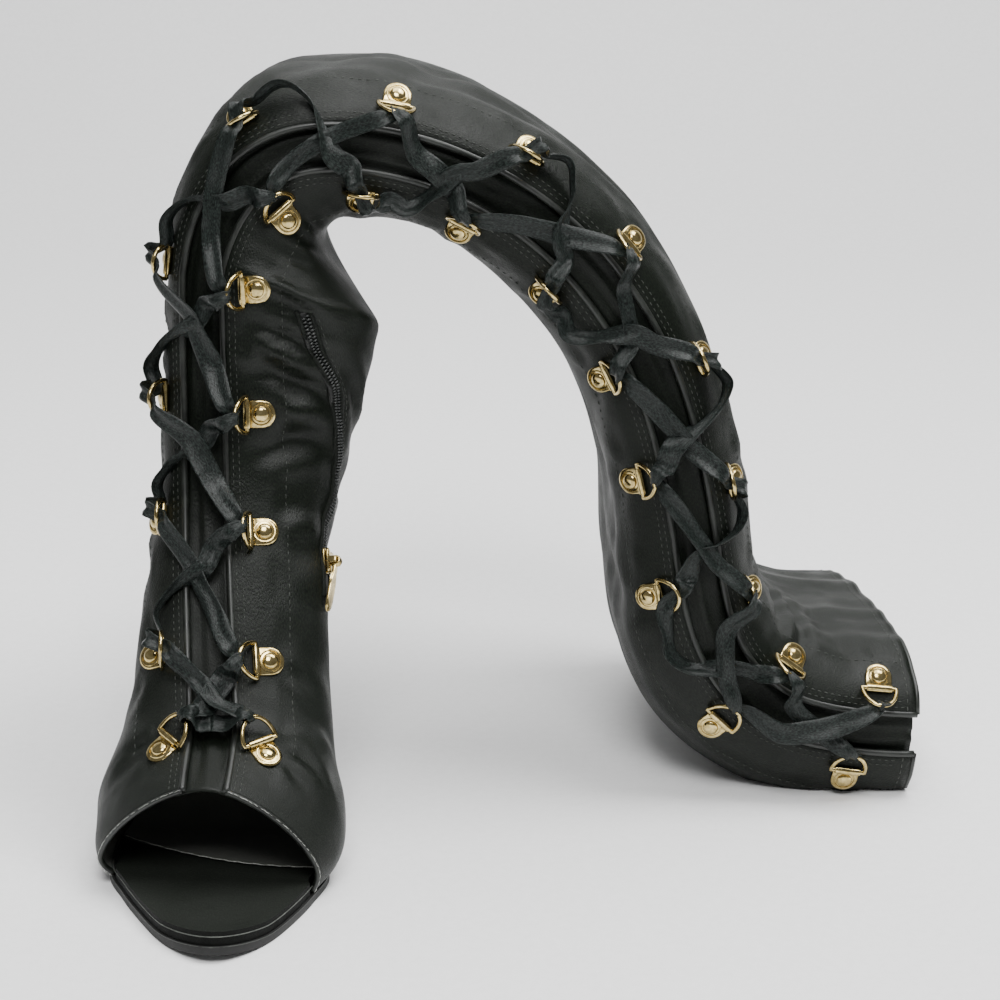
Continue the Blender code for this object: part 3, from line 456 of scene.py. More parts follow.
# Black satin throws back less than a smooth film of its polyester would: light is lost
# between the floats.
SATIN = {"Metallic": 0.0, "IOR": 1.53, "Specular IOR Level": 0.2}
CLOUD = 18.0  # handling leaves patches of this size a little duller


def satin_weave(name, dark, lit, roughness, float_mm, pucker_mm, pucker=0.3, shine=0.6):
    """Polyester satin: long floats lie over the warp, so it shines softly across their run.

    The run of the floats comes from the UV map, in metres: U round the leg, V along it. Real
    floats are a tenth of a millimetre wide; they are drawn as coarse as they need to show.
    """

    def weave(tree):
        cloth = add_node(tree, "ShaderNodeUVMap", {"uv_map": "cloth"}).outputs["UV"]
        place = add_node(tree, "ShaderNodeTexCoord").outputs["Object"]
        drawn = add_node(tree, "ShaderNodeMapping", {"Scale": (1.0, 0.4, 1.0)}, {"Vector": cloth})
        patterns = []
        for where, size, detail, fine, warp in (
            (drawn.outputs["Vector"], float_mm, 2.0, 0.6, 0.0),
            (place, pucker_mm, 3.0, 0.5, 0.5),
            (place, CLOUD, 5.0, 0.5, 0.0),
        ):
            settings = {"Scale": 1 / (size * MM), "Detail": detail, "Roughness": fine, "Distortion": warp}
            patterns.append(add_node(tree, "ShaderNodeTexNoise", settings, {"Vector": where}).outputs["Fac"])
        floats, puckers, clouds = patterns
        run = add_node(tree, "ShaderNodeTangent", {"direction_type": "UV_MAP", "uv_map": "cloth"})
        reliefs = ((floats, 0.75, 0.3), (puckers, pucker, 1.2))
        gloss = (clouds, roughness - 0.08, roughness + 0.12)
        # the floats turn the colour from dark to lit: a painted glint off the floats, on top of their real
        # relief
        return (dark, lit), (floats, 0.40, 0.66), gloss, reliefs, {"Tangent": run.outputs["Tangent"]}

    return dressed(name, {**SATIN, "Anisotropic": shine}, weave)


# How a fine grain shows, by how the thing is made: the shader's values, the noise's detail and
# roughness, where dark turns to lit, how the gloss swings, the depth of the relief.
BRUSHED = {"Metallic": 0.0, "IOR": 1.5, "Sheen Weight": 0.15, "Sheen Roughness": 0.5}
MAKES = {
    # a close plain weave with a dull, slightly hairy face
    "brushed": (BRUSHED, (3.0, 0.7), (0.35, 0.65), (-0.05, 0.1), 0.2),
    # bright metal with faint handling marks
    "plated": ({"Metallic": 1.0}, (4.0, 0.7), (0.35, 0.7), (-0.05, 0.1), 0.1),
    # spun, pressed or moulded: matt, with a fine even grain
    "even": ({"Metallic": 0.0, "IOR": 1.5}, (3.0, 0.6), (0.3, 0.7), (-0.06, 0.08), 0.3),
}


def grained(name, make, dark, lit, roughness, grain_mm, strength):
    """A material whose colour, gloss and relief all follow one fine grain."""
    values, (detail, fine), turned, swing, depth = MAKES[make]

    def weave(tree):
        place = add_node(tree, "ShaderNodeTexCoord").outputs["Object"]
        settings = {"Scale": 1 / (grain_mm * MM), "Detail": detail, "Roughness": fine}
        grain = add_node(tree, "ShaderNodeTexNoise", settings, {"Vector": place}).outputs["Fac"]
        gloss = (grain, roughness + swing[0], roughness + swing[1])
        return (dark, lit), (grain, *turned), gloss, ((grain, strength, depth),), {}

    return dressed(name, values, weave)


# ---------------------------------------------------------------- making pieces


def grid_faces(rows, columns, closed=False):
    """Quads between rows of points; closed joins each row's last point to its first."""
    at = np.arange(rows * columns).reshape(rows, columns)
    after = np.roll(at, -1, axis=1)
    quads = np.stack((at[:-1], after[:-1], after[1:], at[1:]), axis=-1)
    return (quads if closed else quads[:, :-1]).reshape(-1, 4).tolist()


def skin(rings, first=1):
    """Points and faces of a skin over closed rings, with a face at each end.

    first is the way round the face at the first end is numbered: 1, -1, or 0 for no face there.
    """
    rings = np.asarray(rings, float)
    rows, count = rings.shape[:2]
    ends = [tuple(range(count))[::first]] if first else []
    ends.append(tuple((rows - 1) * count + i for i in range(count)))
    return rings.reshape(-1, 3), grid_faces(rows, count, closed=True) + ends


def slab(top, down):
    """A strip from the grid of its top and the way down to its underside."""
    return skin(np.concatenate((top + down, top[:, ::-1]), axis=1))


def tube(line, radius, outward=(0.0, 0.0, 1.0), sides=8, flat=1.0):
    """Points and faces of a tube along a line; flat squeezes it along its outward direction."""
    line = np.asarray(line, float)
    way = unit(np.gradient(line, axis=0))
    aside = unit(np.cross(way, outward))
    lift = np.cross(aside, way)
    radius = np.broadcast_to(radius, len(line))[:, None, None]
    angles = around(sides)[None, :, None]
    ring = aside[:, None] * np.cos(angles) + lift[:, None] * np.sin(angles) * flat
    return skin(line[:, None] + radius * ring, first=-1)


def together(parts):
    """Several (points, faces) as one."""
    points, faces, start = [], [], 0
    for part_points, part_faces in parts:
        points.append(part_points)
        faces += [tuple(i + start for i in face) for face in part_faces]
        start += len(part_points)
    return np.concatenate(points), faces


def mesh_object(name, shape, materials, uv=None):
    """An object from (points, faces). uv gives each point's place in the cloth."""
    points, faces = shape
    mesh = bpy.data.meshes.new(name)
    mesh.from_pydata(np.asarray(points, float) * MM, [], faces)
    for finish in materials:
        mesh.materials.append(finish)
    layer = mesh.uv_layers.new(name="cloth")
    if uv is not None:
        corners = np.empty(len(mesh.loops), np.int32)
        mesh.loops.foreach_get("vertex_index", corners)
        layer.data.foreach_set("uv", np.asarray(uv * MM, np.float32)[corners].ravel())
    mesh.shade_smooth()
    made = bpy.data.objects.new(name, mesh)
    bpy.context.scene.collection.objects.link(made)
    return made


def riding(made, nodes=(), body=BODY):
    """Joins a piece to its body and hides the nodes it stands for."""
    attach(made, body)
    if nodes:
        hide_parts(*nodes)
    return made


def add_piece(name, shape, finish, nodes=(), uv=None, solid=False, bevel=None, sharp=None, body=BODY):
    """One piece of the boot.

    solid turns a closed shape's faces outward; bevel is the width, steps and least angle of its
    rounded edges; sharp is the angle past which an edge stays crisp.
    """
    made = mesh_object(name, shape, (finish,), uv)
    if solid:
        mesh = bmesh.new()
        mesh.from_mesh(made.data)
        bmesh.ops.recalc_face_normals(mesh, faces=mesh.faces)
        mesh.to_mesh(made.data)
        mesh.free()
    if bevel:
        edges = made.modifiers.new("edges", "BEVEL")
        edges.width, edges.segments, edges.limit_method = bevel[0] * MM, bevel[1], "ANGLE"
        edges.angle_limit = math.radians(bevel[2])
    if sharp:
        made.data.set_sharp_from_angle(angle=math.radians(sharp))
    return riding(made, nodes, body)


# ---------------------------------------------------------------- folds of the satin

# Creases, as soft troughs with a ridge on each side: from and to as (ring, millimetres
# round from the ridge, outer side negative), how far the line bows, its depth and its width.
CREASES = (
    # the ankle, fanning out from the lacing on the inner side
    (4.97, 16, 4.56, 52, 2.5, 4.6, 4.6), (4.7, 16, 4.3, 56, 2, 5.6, 4.6),
    (4.6, 12, 4.34, 34, -1.5, 3, 3.4), (4.27, 16, 4.04, 64, 2.5, 5.2, 5.2),
    (4.45, 50, 4.02, 78, 3, 2.6, 4.8), (3.55, 18, 3.86, 60, 3, 3.6, 5.4),
    (3.3, 50, 2.9, 76, -4, 1.2, 6.5), (5.28, 22, 4.86, 62, 4, 1.8, 4.6),
    # the instep and forefoot, inner side
    (2.62, 28, 2.95, 62, 4, 0.9, 4.6), (2.05, 30, 2.25, 66, 5, 0.8, 5.2),
    (1.45, 34, 1.75, 62, 4, 0.8, 5.2), (1.05, 30, 0.75, 52, 3, 0.6, 4.2),
    (0.95, 56, 1.75, 64, 3, 0.7, 5.5),
    # outer side of foot and ankle
    (4.7, -16, 4.15, -52, -5, 1.6, 4.4), (4.3, -24, 3.7, -58, -4, 1.3, 4.6),
    (3.7, -26, 3.3, -62, 4, 1.2, 5), (5.1, -24, 4.7, -66, -4, 1.7, 4.6),
    (2.7, -28, 2.9, -60, -4, 0.9, 4.8), (1.9, -30, 2.1, -58, -4, 0.8, 5),
    (1.15, -28, 0.8, -48, 3, 0.7, 4.2),
    # round the back of the ankle
    (3.95, 78, 4.05, 118, 3, 1.4, 5), (4.35, 84, 4.3, 124, -3, 1.5, 5),
    (4.05, -62, 4.2, -96, 3, 1.4, 5), (4.55, -60, 4.6, -98, -3, 1.5, 5.2),
    # the crook of the bend, inner side, where the cloth gathers
    (5.45, 24, 5.25, 60, 4, 1.6, 4.4), (5.8, 24, 5.75, 62, 3, 1.5, 4.4),
    (6.3, 26, 6.4, 78, -5, 1.4, 5), (6.75, 28, 6.95, 84, -6, 1.5, 6),
    # the crown of the bend, outer side, where it is pulled smooth
    (5.4, -26, 5.9, -88, -10, 1.2, 8), (6.2, -28, 6.7, -96, -8, 1.3, 8),
    (7.1, -28, 7.3, -98, -8, 1.4, 7),
    # long slack folds down the shaft
    (7.2, -42, 9.8, -58, 8, 1.9, 7), (7.9, -74, 11.2, -70, -9, 2.3, 8),
    (9.7, -40, 12.3, -52, 6, 1.9, 7), (8.6, -104, 12.4, -98, 8, 2.2, 9),
    (7.4, 40, 9.6, 54, -8, 1.9, 7), (8.4, 72, 11.4, 66, 9, 2.2, 8), (9.9, 36, 12.1, 50, -6, 1.8, 7),
    (8.9, 104, 12.2, 110, -8, 2.2, 9),
    # the lower crook, where the shaft turns along the floor
    (12.3, -26, 12.5, -96, 6, 2.8, 5.5), (12.75, -24, 12.85, -104, -5, 3.2, 5.5),
    (13.2, -28, 13.25, -92, -5, 2.4, 5.5), (13.9, -30, 13.7, -110, 7, 1.6, 8),
    (11.9, 28, 11.7, 80, 6, 1.8, 6.5),
)
CREASE_REACH = 4.5  # in widths
SHOULDER, SHOULDER_AT, SHOULDER_WIDE = 0.5, 1.8, 0.95
PUCKERS, PUCKER_HIGH, PUCKER_REACH = 6.0, 0.6, 24.0


def crease_line(ring_from, round_from, ring_to, round_to, bow):
    """The line of a crease in the cloth: millimetres round and along, bowed to one side."""
    start = np.array((round_from, ring_from * RING_STEP))
    stop = np.array((round_to, ring_to * RING_STEP))
    way = unit(stop - start)
    share = np.linspace(0, 1, 17)[:, None]
    return start + (stop - start) * share + np.array((-way[1], way[0])) * bow * arch(share)


def off_line(line, spots):
    """How far each spot is from a line of points, and how far along it, from 0 to 1."""
    best, along = np.full(len(spots), np.inf), np.zeros(len(spots))
    run = travelled(line)
    for i, way in enumerate(np.diff(line, axis=0)):
        share = np.clip((spots - line[i]) @ way / (way @ way), 0, 1)
        away = np.linalg.norm(spots - line[i] - share[:, None] * way, axis=1)
        nearer = away < best
        best = np.where(nearer, away, best)
        along = np.where(nearer, run[i] + share * (run[i + 1] - run[i]), along)
    return best, along / run[-1]


def fold_depth(spots):
    """How far the satin lies off its smooth shape, at each (round, along) of the cloth."""
    depth = np.zeros(len(spots))
    for *ends, low, width in CREASES:
        line = crease_line(*ends)
        reach = CREASE_REACH * width
        near = np.all((spots > line.min(0) - reach) & (spots < line.max(0) + reach), axis=1)
        if not near.any():
            continue
        away, along = off_line(line, spots[near])
        fade = np.sin(math.pi * np.clip(along, 0.02, 0.98)) ** 0.7
        trough = -np.exp(-((away / width) ** 2))
        ridge = SHOULDER * np.exp(-(((away - SHOULDER_AT * width) / (SHOULDER_WIDE * width)) ** 2))
        depth[near] += low * fade * (trough + ridge)
    return depth


def loop_spot(pair, word):
    """Where a lace loop's bar is: its ring and millimetres round the leg."""
    rise, at = (LOW_LOOP_RISE, LOW_LOOP_AT) if pair == 1 else (LOOP_RISE, LOOP_AT)
    return pair + rise[word] / RING_STEP, at[word] * (-1 if word == "outer" else 1)


def pucker_depth(spots):
    """Small gathers in the cloth behind each lace loop, and how flat the plates press it."""
    depth, pressed = np.zeros(len(spots)), np.zeros(len(spots))
    for pair in range(1, RING_PAIRS + 1):
        for side, word in SIDES:
            ring, distance = loop_spot(pair, word)
            offset = spots - np.array((distance + side * 5.0, ring * RING_STEP))
            behind, far = offset[:, 0] * side, np.hypot(*offset.T)
            pressed = np.maximum(pressed, 1 - ease(far, 6.0, 13.0))
            fan = np.arctan2(offset[:, 1], np.maximum(behind, 0.1))
            swell = ease(far, 7.0, 12.0) * (1 - ease(far, 14.0, PUCKER_REACH + 4.0))
            swell = swell * ease(behind, 0.0, 5.0)
            depth += PUCKER_HIGH * swell * np.sin(fan * PUCKERS + pair * 1.7 + side)
    return depth, pressed


def rough_noise(points, sizes, seed):
    """Smooth noise, about -1 to 1, as coarse as the sizes each way."""
    shift = Vector((seed * 17.3, seed * 5.1, seed * 9.7))
    return np.array([noise.noise(Vector(p) + shift) for p in np.asarray(points) / sizes])


# ---------------------------------------------------------------- the upper

UPPER_COLUMNS = 58  # on each side
CLOTH_ROW = 3.0  # between rows of the cloth
CROOK_PASSES = 60


def cloth_rings():
    foot = np.linspace(0.0, CLOSED, round(CLOSED * RING_STEP / CLOTH_ROW * 1.2))
    leg = np.linspace(CLOSED, COLLAR, round((COLLAR - CLOSED) * RING_STEP / CLOTH_ROW))[1:]
    return np.concatenate((foot, leg))


CLOTH_RINGS = cloth_rings()


def smooth_side(side):
    """The smooth outside of one side: points, millimetres round, and outward directions."""
    points, rounds = [], []
    for line in half_sections(CLOTH_RINGS, side, SECTION_TURNS):
        run = travelled(line)
        rounds.append(np.linspace(LACE_GAP, run[-1], UPPER_COLUMNS + 1))
        points.append(between(rounds[-1], run, line))
    points = np.array(points)
    outward = side * unit(np.cross(np.gradient(points, axis=1), np.gradient(points, axis=0)))
    return points, np.array(rounds) * side, outward


def relaxed(grid, rounds):
    """The cloth in the crook of the bend, eased where its rows crowd together."""
    along = np.broadcast_to(CLOTH_RINGS[:, None], rounds.shape)
    crowded = ease(along, 4.8, 5.2) * (1 - ease(along, 6.2, 7.0)) * ease(rounds, 36.0, 58.0)
    crowded = (crowded * (1 - ease(rounds / rounds[:, -1:], 0.86, 0.97)) * 0.5)[..., None]
    for _ in range(CROOK_PASSES):
        near = np.zeros_like(grid)
        near[1:-1, 1:-1] = (grid[2:, 1:-1] + grid[:-2, 1:-1] + grid[1:-1, 2:] + grid[1:-1, :-2]) / 4
        near[1:-1, 1:-1] -= grid[1:-1, 1:-1]
        grid = grid + near * crowded
    return grid


def folded_sides():
    """Both sides of the upper with its folds, joined down the back above the heel seat."""
    sides = {side: smooth_side(side) for side, _ in SIDES}
    closed = CLOTH_RINGS >= CLOSED
    seam = unit(sides[-1][2][closed, -1] + sides[1][2][closed, -1])
    depths = {}
    for side, (points, rounds, outward) in sides.items():
        outward[closed, -1] = seam
        along = np.broadcast_to((CLOTH_RINGS * RING_STEP)[:, None], rounds.shape)
        spots = np.stack((rounds, along), axis=-1).reshape(-1, 2)
        puckers, pressed = pucker_depth(spots)
        ring = along.ravel() / RING_STEP
        stretched = np.column_stack((spots, np.full(len(spots), 30.0 * side)))
        # broad unevenness all over, long drapes down the slack shaft, gathers across the ankle
        broad = rough_noise(points.reshape(-1, 3), (34.0, 34.0, 34.0), 1) * 0.9
        drape = rough_noise(stretched, (11.0, 85.0, 30.0), 3) * 1.5
        gathers = rough_noise(stretched, (42.0, 9.0, 30.0), 4) * 0.9
        depth = fold_depth(spots) + puckers + broad * (0.35 + 0.65 * ease(ring, 4.6, 6.5))
        at_ankle = ease(ring, 2.4, 3.4) * (1 - ease(ring, 5.2, 6.4))
        depth = depth + drape * ease(ring, 5.4, 7.4) + gathers * at_ankle
        depth = (depth * (1 - 0.85 * pressed)).reshape(rounds.shape)
        away = np.abs(rounds)
        open_foot = np.where(closed[:, None], 1.0, ease(away[:, -1:] - away, 0.0, 16.0))
        depths[side] = depth * ease(away, LACE_GAP, LACE_GAP + 9.0) * open_foot
    middle = (depths[-1][closed, -1] + depths[1][closed, -1]) / 2
    for side, (points, rounds, outward) in sides.items():
        share = ease(np.abs(rounds) / np.abs(rounds[:, -1:]), 0.7, 1.0)[closed]
        depths[side][closed] += share * (middle - depths[side][closed, -1])[:, None]
        moved = points + outward * depths[side][..., None]
        if side > 0:
            moved = relaxed(moved, rounds)
        moved[..., 2] = np.maximum(moved[..., 2], 0.0)
        sides[side] = (moved, rounds, outward)
    return sides


CLOTH = folded_sides()


def on_cloth(rings, rounds):
    """Points and outward directions on the folded satin, at rings and millimetres round."""
    rings, rounds = np.broadcast_arrays(np.atleast_1d(rings).astype(float), np.atleast_1d(rounds))
    found = np.zeros((len(rings), 6))
    for i, (ring, distance) in enumerate(zip(rings, rounds)):
        grid, at, outward = CLOTH[-1 if distance < 0 else 1]
        row = int(np.clip(np.searchsorted(CLOTH_RINGS, ring) - 1, 0, len(CLOTH_RINGS) - 2))
        share = (ring - CLOTH_RINGS[row]) / (CLOTH_RINGS[row + 1] - CLOTH_RINGS[row])
        low, high = (
            between(abs(distance), np.abs(at[r]), np.hstack((grid[r], outward[r]))) for r in (row, row + 1)
        )
        found[i] = low + (high - low) * share
    return found[:, :3], unit(found[:, 3:])


THINNER = 0.15  # the cloth is drawn this much thinner than the solid's wall


def build_upper(satin, lining):
    rows, columns = len(CLOTH_RINGS), UPPER_COLUMNS + 1
    index = np.arange(2 * rows * columns).reshape(2, rows, columns)
    closed = CLOTH_RINGS >= CLOSED
    index[1, closed, -1] = index[0, closed, -1]
    corners = (index[:, :-1, :-1], index[:, :-1, 1:], index[:, 1:, 1:], index[:, 1:, :-1])
    quads = np.stack(corners, axis=-1)
    quads[0] = quads[0, ..., ::-1].copy()
    used, faces = np.unique(quads, return_inverse=True)
    points = np.concatenate([CLOTH[side][0].reshape(-1, 3) for side, _ in SIDES])[used]
    along = np.broadcast_to(CLOTH_RINGS[:, None] * RING_STEP, (rows, columns))
    cloth = [np.stack((CLOTH[side][1], along), axis=-1).reshape(-1, 2) for side, _ in SIDES]
    shape = points, faces.reshape(-1, 4).tolist()
    made = mesh_object("boot_upper", shape, (satin, lining), np.concatenate(cloth)[used])
    wall = made.modifiers.new("wall", "SOLIDIFY")
    wall.thickness = (WALL - THINNER) * MM
    wall.offset = -1.0
    wall.material_offset = 1
    wall.material_offset_rim = 0
    return riding(made, ("upper",))


# How thick the rolled edges are, as radii.
GAP_ROLL, TOE_ROLL, COLLAR_ROLL, FEATHER_ROLL = 1.45, 1.15, 1.2, 0.8


def build_edges(rolled):
    """The rolled edges: both sides of the laced gap, the open toe, the collar and the feather."""
    parts = []
    foot = CLOTH_RINGS <= CLOSED
    for side, _ in SIDES:
        grid, _, outward = CLOTH[side]
        middle = grid - outward * WALL / 2
        parts.append(tube(middle[:, 0], GAP_ROLL, outward[:, 0], 10))
        for row, radius in ((0, TOE_ROLL), (-1, COLLAR_ROLL)):
            parts.append(tube(middle[row], radius, outward[row], 10))
        feather = grid[foot, -1] - outward[foot, -1] * FEATHER_ROLL - np.array((0, 0, 0.15))
        parts.append(tube(feather, FEATHER_ROLL, outward[foot, -1], 8))
    return add_piece("boot_rolled_edges", together(parts), rolled)


# The tongue's two runs of folds: their height and how far apart they lie.
TONGUE_FOLDS = ((0.55, 7.4), (0.3, 4.6))


def build_tongue(satin):
    """The strip behind the laced gap, with soft folds that wander down its middle."""
    rings = np.concatenate((np.linspace(0.015, 5.0, 90), np.linspace(5.0, COLLAR - 0.02, 150)[1:]))
    share = np.linspace(-1, 1, 27)
    halves = np.interp(rings, (0.0, 0.6), (TONGUE_TIP_HALF, TONGUE_HALF))
    outside = np.array([walk_round([r], share * h)[0] for r, h in zip(rings, halves)])
    outward = unit(np.cross(np.gradient(outside, axis=1), np.gradient(outside, axis=0)))
    across, along = np.broadcast_arrays(share * halves[:, None], rings[:, None] * RING_STEP)
    drift = np.sin(along / 61.0) * 2.4 + np.sin(along / 23.0 + 1.0) * 0.8
    (high, apart), (low, close) = TONGUE_FOLDS
    folds = high * np.sin((across + drift) * 2 * math.pi / apart)
    folds = folds + low * np.sin((across - drift) * 2 * math.pi / close)
    folds = folds * (1 - ease(np.abs(share), 0.6, 1.0)) * ease(rings, 0.0, 0.7)[:, None]
    top = outside - outward * (WALL + smooth(TONGUE_DROP, rings) - folds)[..., None]
    cloth = [np.stack((way, along), axis=-1) for way in (across, across[:, ::-1])]
    uv = np.concatenate(cloth, axis=1).reshape(-1, 2)
    shape = slab(top, outward * -TONGUE)
    return add_piece("boot_tongue", shape, satin, ("tongue",), uv, solid=True)


# ---------------------------------------------------------------- sole, insole and heel


def fine_stations(first, last, count):
    """Lengths along the sole between two rows of its table, as close together as the rows are."""
    rows = np.linspace(first, last, count)
    return np.interp(rows, np.arange(len(SOLE)), length_at([row[0] for row in SOLE]))


def layer(name, lengths, insets, low, high, finish, slot, node, rounding, columns=2, crown=0.0, bow=0.0):
    """A layer of the sole with rounded edges; crown dishes its top and bow rounds its front."""
    ways = zip(lengths, (-1, 1), insets)
    left, right = (np.column_stack(sole_edge(*way)) for way in ways)
    share = np.linspace(0, 1, columns)
    rings = []
    for (a, x_a), (b, x_b), bulge in zip(left, right, bow * np.linspace(1, 0, len(left)) ** 2):
        length, x = a + (b - a) * share - bulge * arch(share), x_a + (x_b - x_a) * share
        under = on_last(length, x, low(length))
        over = on_last(length, x, high(length) - crown * arch(share))
        rings.append(np.concatenate((under, over[::-1])))
    points, faces = skin(rings)
    uv = points[:, :2] + points[:, 2:] * np.array((0.7, -0.7))
    bevel = (rounding, 4, 40)
    return add_piece(name, (points, faces), finish, (node,), uv, solid=True, bevel=bevel)


def inside_inset(length):
    """How far a layer inside the upper is drawn in: more under the narrow heel seat."""
    places = length_at([-77.0, 95.0, 118.0, 130.0])
    return np.interp(length, places, (INSIDE_INSET, INSIDE_INSET, HEEL_INSET, HEEL_INSET))


def build_outsole(sole):
    breast = length_at(BREAST_Y)
    stations = fine_stations(0.05, 13.2, 130)
    stations = np.append(stations[stations < breast - 2.0], breast - GAP)
    lengths, insets = (stations, stations), (0 * stations, 0 * stations)
    return layer("boot_outsole", lengths, insets, np.zeros_like, outsole_top, sole, "sole", "outsole", 0.7)


def build_footbed(board, wall):
    """The wrapped board: as wide as the sole at the bare toe, drawn in where the upper starts."""
    stations = fine_stations(0.05, 18.9, 170)
    deeper = inside_inset(stations) - FOOTBED_INSET
    insets = []
    for corner in length_at(FEATHER[0][1:]):
        insets.append(FOOTBED_INSET + deeper * ease(stations, corner - 3.0, corner + 1.0))
    made = layer(
        "boot_footbed",
        (stations, stations),
        insets,
        lambda length: outsole_top(length) + GAP * 0.4,
        footbed_top,
        board,
        "satin",
        "footbed",
        2.2,
        9,
        DISH,
    )
    made.data.materials.append(wall)
    # upright faces take the darker copy and flat faces the lighter one: painted shade on the sides, painted
    # light on the top
    for face in made.data.polygons:
        face.material_index = int(abs(face.normal.z) < 0.6)
    return made


def build_sole_seams(seam):
    """The turned edge of the footbed's cover, and the top edge of the outsole under it."""
    parts = []
    # how far in from the edge, the last row it reaches, the top it lies under and how far, its radius
    for inset, last, top, drop, radius in (
        (FOOTBED_INSET - 0.05, 8.6, footbed_top, 1.9, 0.22),
        (0.12, 9.6, outsole_top, 0.25, 0.16),
    ):
        stations = fine_stations(0.02, last, 90)
        edges = [sole_edge(stations, side, inset) for side, _ in SIDES]
        outer, inner = (on_last(length, x, top(length) - drop) for length, x in edges)
        parts.append(tube(np.concatenate((outer[::-1], inner)), radius, sides=6))
    # both lines are drawn pale grey: a painted highlight along the top edges of the footbed and the outsole
    return add_piece("boot_sole_seams", together(parts), seam)


INSOLE_FRONT, INSOLE_END = (9.0, -16.0), 127.5  # Y of its cut, outer and inner, and of its end


def build_insole(sock, raw):
    """The sock lining, cut across at a slant behind the toes, and the raw edge of that cut."""
    share = np.linspace(0, 1, 90)
    back = length_at(INSOLE_END)
    lengths = [length_at(front) * (1 - share) + back * share for front in INSOLE_FRONT]
    insets = [inside_inset(length) + 0.4 for length in lengths]
    layer(
        "boot_insole",
        lengths,
        insets,
        lambda length: footbed_top(length) - 0.15,
        lambda length: footbed_top(length) + GAP + INSOLE - 0.3,
        sock,
        "lining",
        "insole",
        0.4,
        13,
        DISH,
        INSOLE_BOW,
    )
    share = np.linspace(0, 1, 40)
    (first, *_), (last, *_) = lengths
    length = first + (last - first) * share - INSOLE_BOW * arch(share)
    ways = zip(lengths, (-1, 1), insets)
    left, right = (sole_edge(way[:1], side, inset[:1])[1][0] for way, side, inset in ways)
    high = footbed_top(length) + GAP + INSOLE - 0.55 - DISH * arch(share)
    line = on_last(length - 0.1, np.linspace(left + 0.6, right - 0.6, 40), high)
    line[:, 2] += 0.12 * np.sin(np.arange(40) * 1.9)
    return add_piece("boot_insole_raw_edge", tube(line, 0.2, sides=6), raw)


HEEL_INSIDE = 0.6  # the heel's cover lies this far inside the edge of the sole
HEEL_ROWS, HEEL_CLOSER, HEEL_NARROWS = 44, 1.25, 2.7  # rows down the heel, and their two powers


def build_heel(satin):
    """The stiletto: the seat's outline shrinks to the tip, fast at first and then slowly."""
    first = length_at(BREAST_Y)
    stations = fine_stations(13.4, 18.95, 26)
    stations[0] = first
    outer = np.column_stack(sole_edge(stations, -1, HEEL_INSIDE))
    inner = np.column_stack(sole_edge(stations[::-1], 1, HEEL_INSIDE))
    across = np.linspace(0, 1, 12)[1:-1]
    breast = [(first, inner[-1, 1] * (1 - s) + outer[0, 1] * s) for s in across]
    length, x = np.concatenate((outer, inner, breast)).T
    seat = on_last(length, x, outsole_top(length) + 0.3)
    away = seat - seat.mean(axis=0)
    angle = np.arctan2(away[:, 1], away[:, 0])
    tip = arc(HEEL_TIP_HALF, angle, HEEL_TIP + 0.1, HEEL_TIP_AT)
    rings = []
    for fall in np.linspace(0, 1, HEEL_ROWS) ** HEEL_CLOSER:
        ring = tip + (seat - tip) * (1 - fall) ** HEEL_NARROWS
        ring[:, 2] = tip[:, 2] + (seat[:, 2] - tip[:, 2]) * (1 - fall)
        rings.append(ring)
    points, faces = skin(rings)
    uv = np.column_stack((np.tile(angle * 12.0, len(rings)), points[:, 2]))
    shape, bevel = (points, faces), (0.5, 3, 55)
    return add_piece("boot_heel", shape, satin, ("heel",), uv, solid=True, bevel=bevel)


def build_heel_tip(rubber):
    half = np.array(HEEL_TIP_HALF)
    rings = [arc(half * grow, around(48), z, HEEL_TIP_AT) for z, grow in ((0.0, 1.0), (HEEL_TIP, 1.05))]
    shape, bevel = skin(rings), (0.5, 3, 40)
    return add_piece("boot_heel_tip", shape, rubber, ("heel_tip",), solid=True, bevel=bevel)


# ---------------------------------------------------------------- lace loops

# How far each loop's D stands off the satin, in degrees, from the lowest pair up: outer, inner.
# The lace pulls each one its own way.
TILTS = (
    (24, 30), (58, 40), (50, 70), (60, 64), (48, 66), (58, 38), (42, 56), (64, 35), (38, 50),
    (56, 30), (45, 22), (52, 16), (36, 14), (26, 12),
)


def loop_tilt(pair, side):
    return math.radians(TILTS[pair - 1][0 if side < 0 else 1])


def loop_placing(pair, side, word):
    """A lace loop's axes: X away from the gap, Y up or down the leg, Z out of the satin."""
    point, round_leg, along, outward = frame_at(*loop_spot(pair, word))
    turn = math.radians(LOW_LOOP_TURN[word] if pair == 1 else 0.0)
    away = round_leg * side * math.cos(turn) - along * math.sin(turn)
    axes = Matrix([away, np.cross(outward, away), outward]).transposed().to_4x4()
    return Matrix.Translation(point) @ axes


def level(points, z):
    """Flat points, lifted to one height."""
    return np.column_stack((points, [z] * len(points)))


def stacked(outline, heights, middle=None):
    """A flat shape: its outline at each height, drawn in towards its middle by a share."""
    outline = np.asarray(outline, float)
    middle = outline.mean(axis=0) if middle is None else np.array(middle)
    return skin([level(outline + (middle - outline) * share, z) for share, z in heights], first=-1)


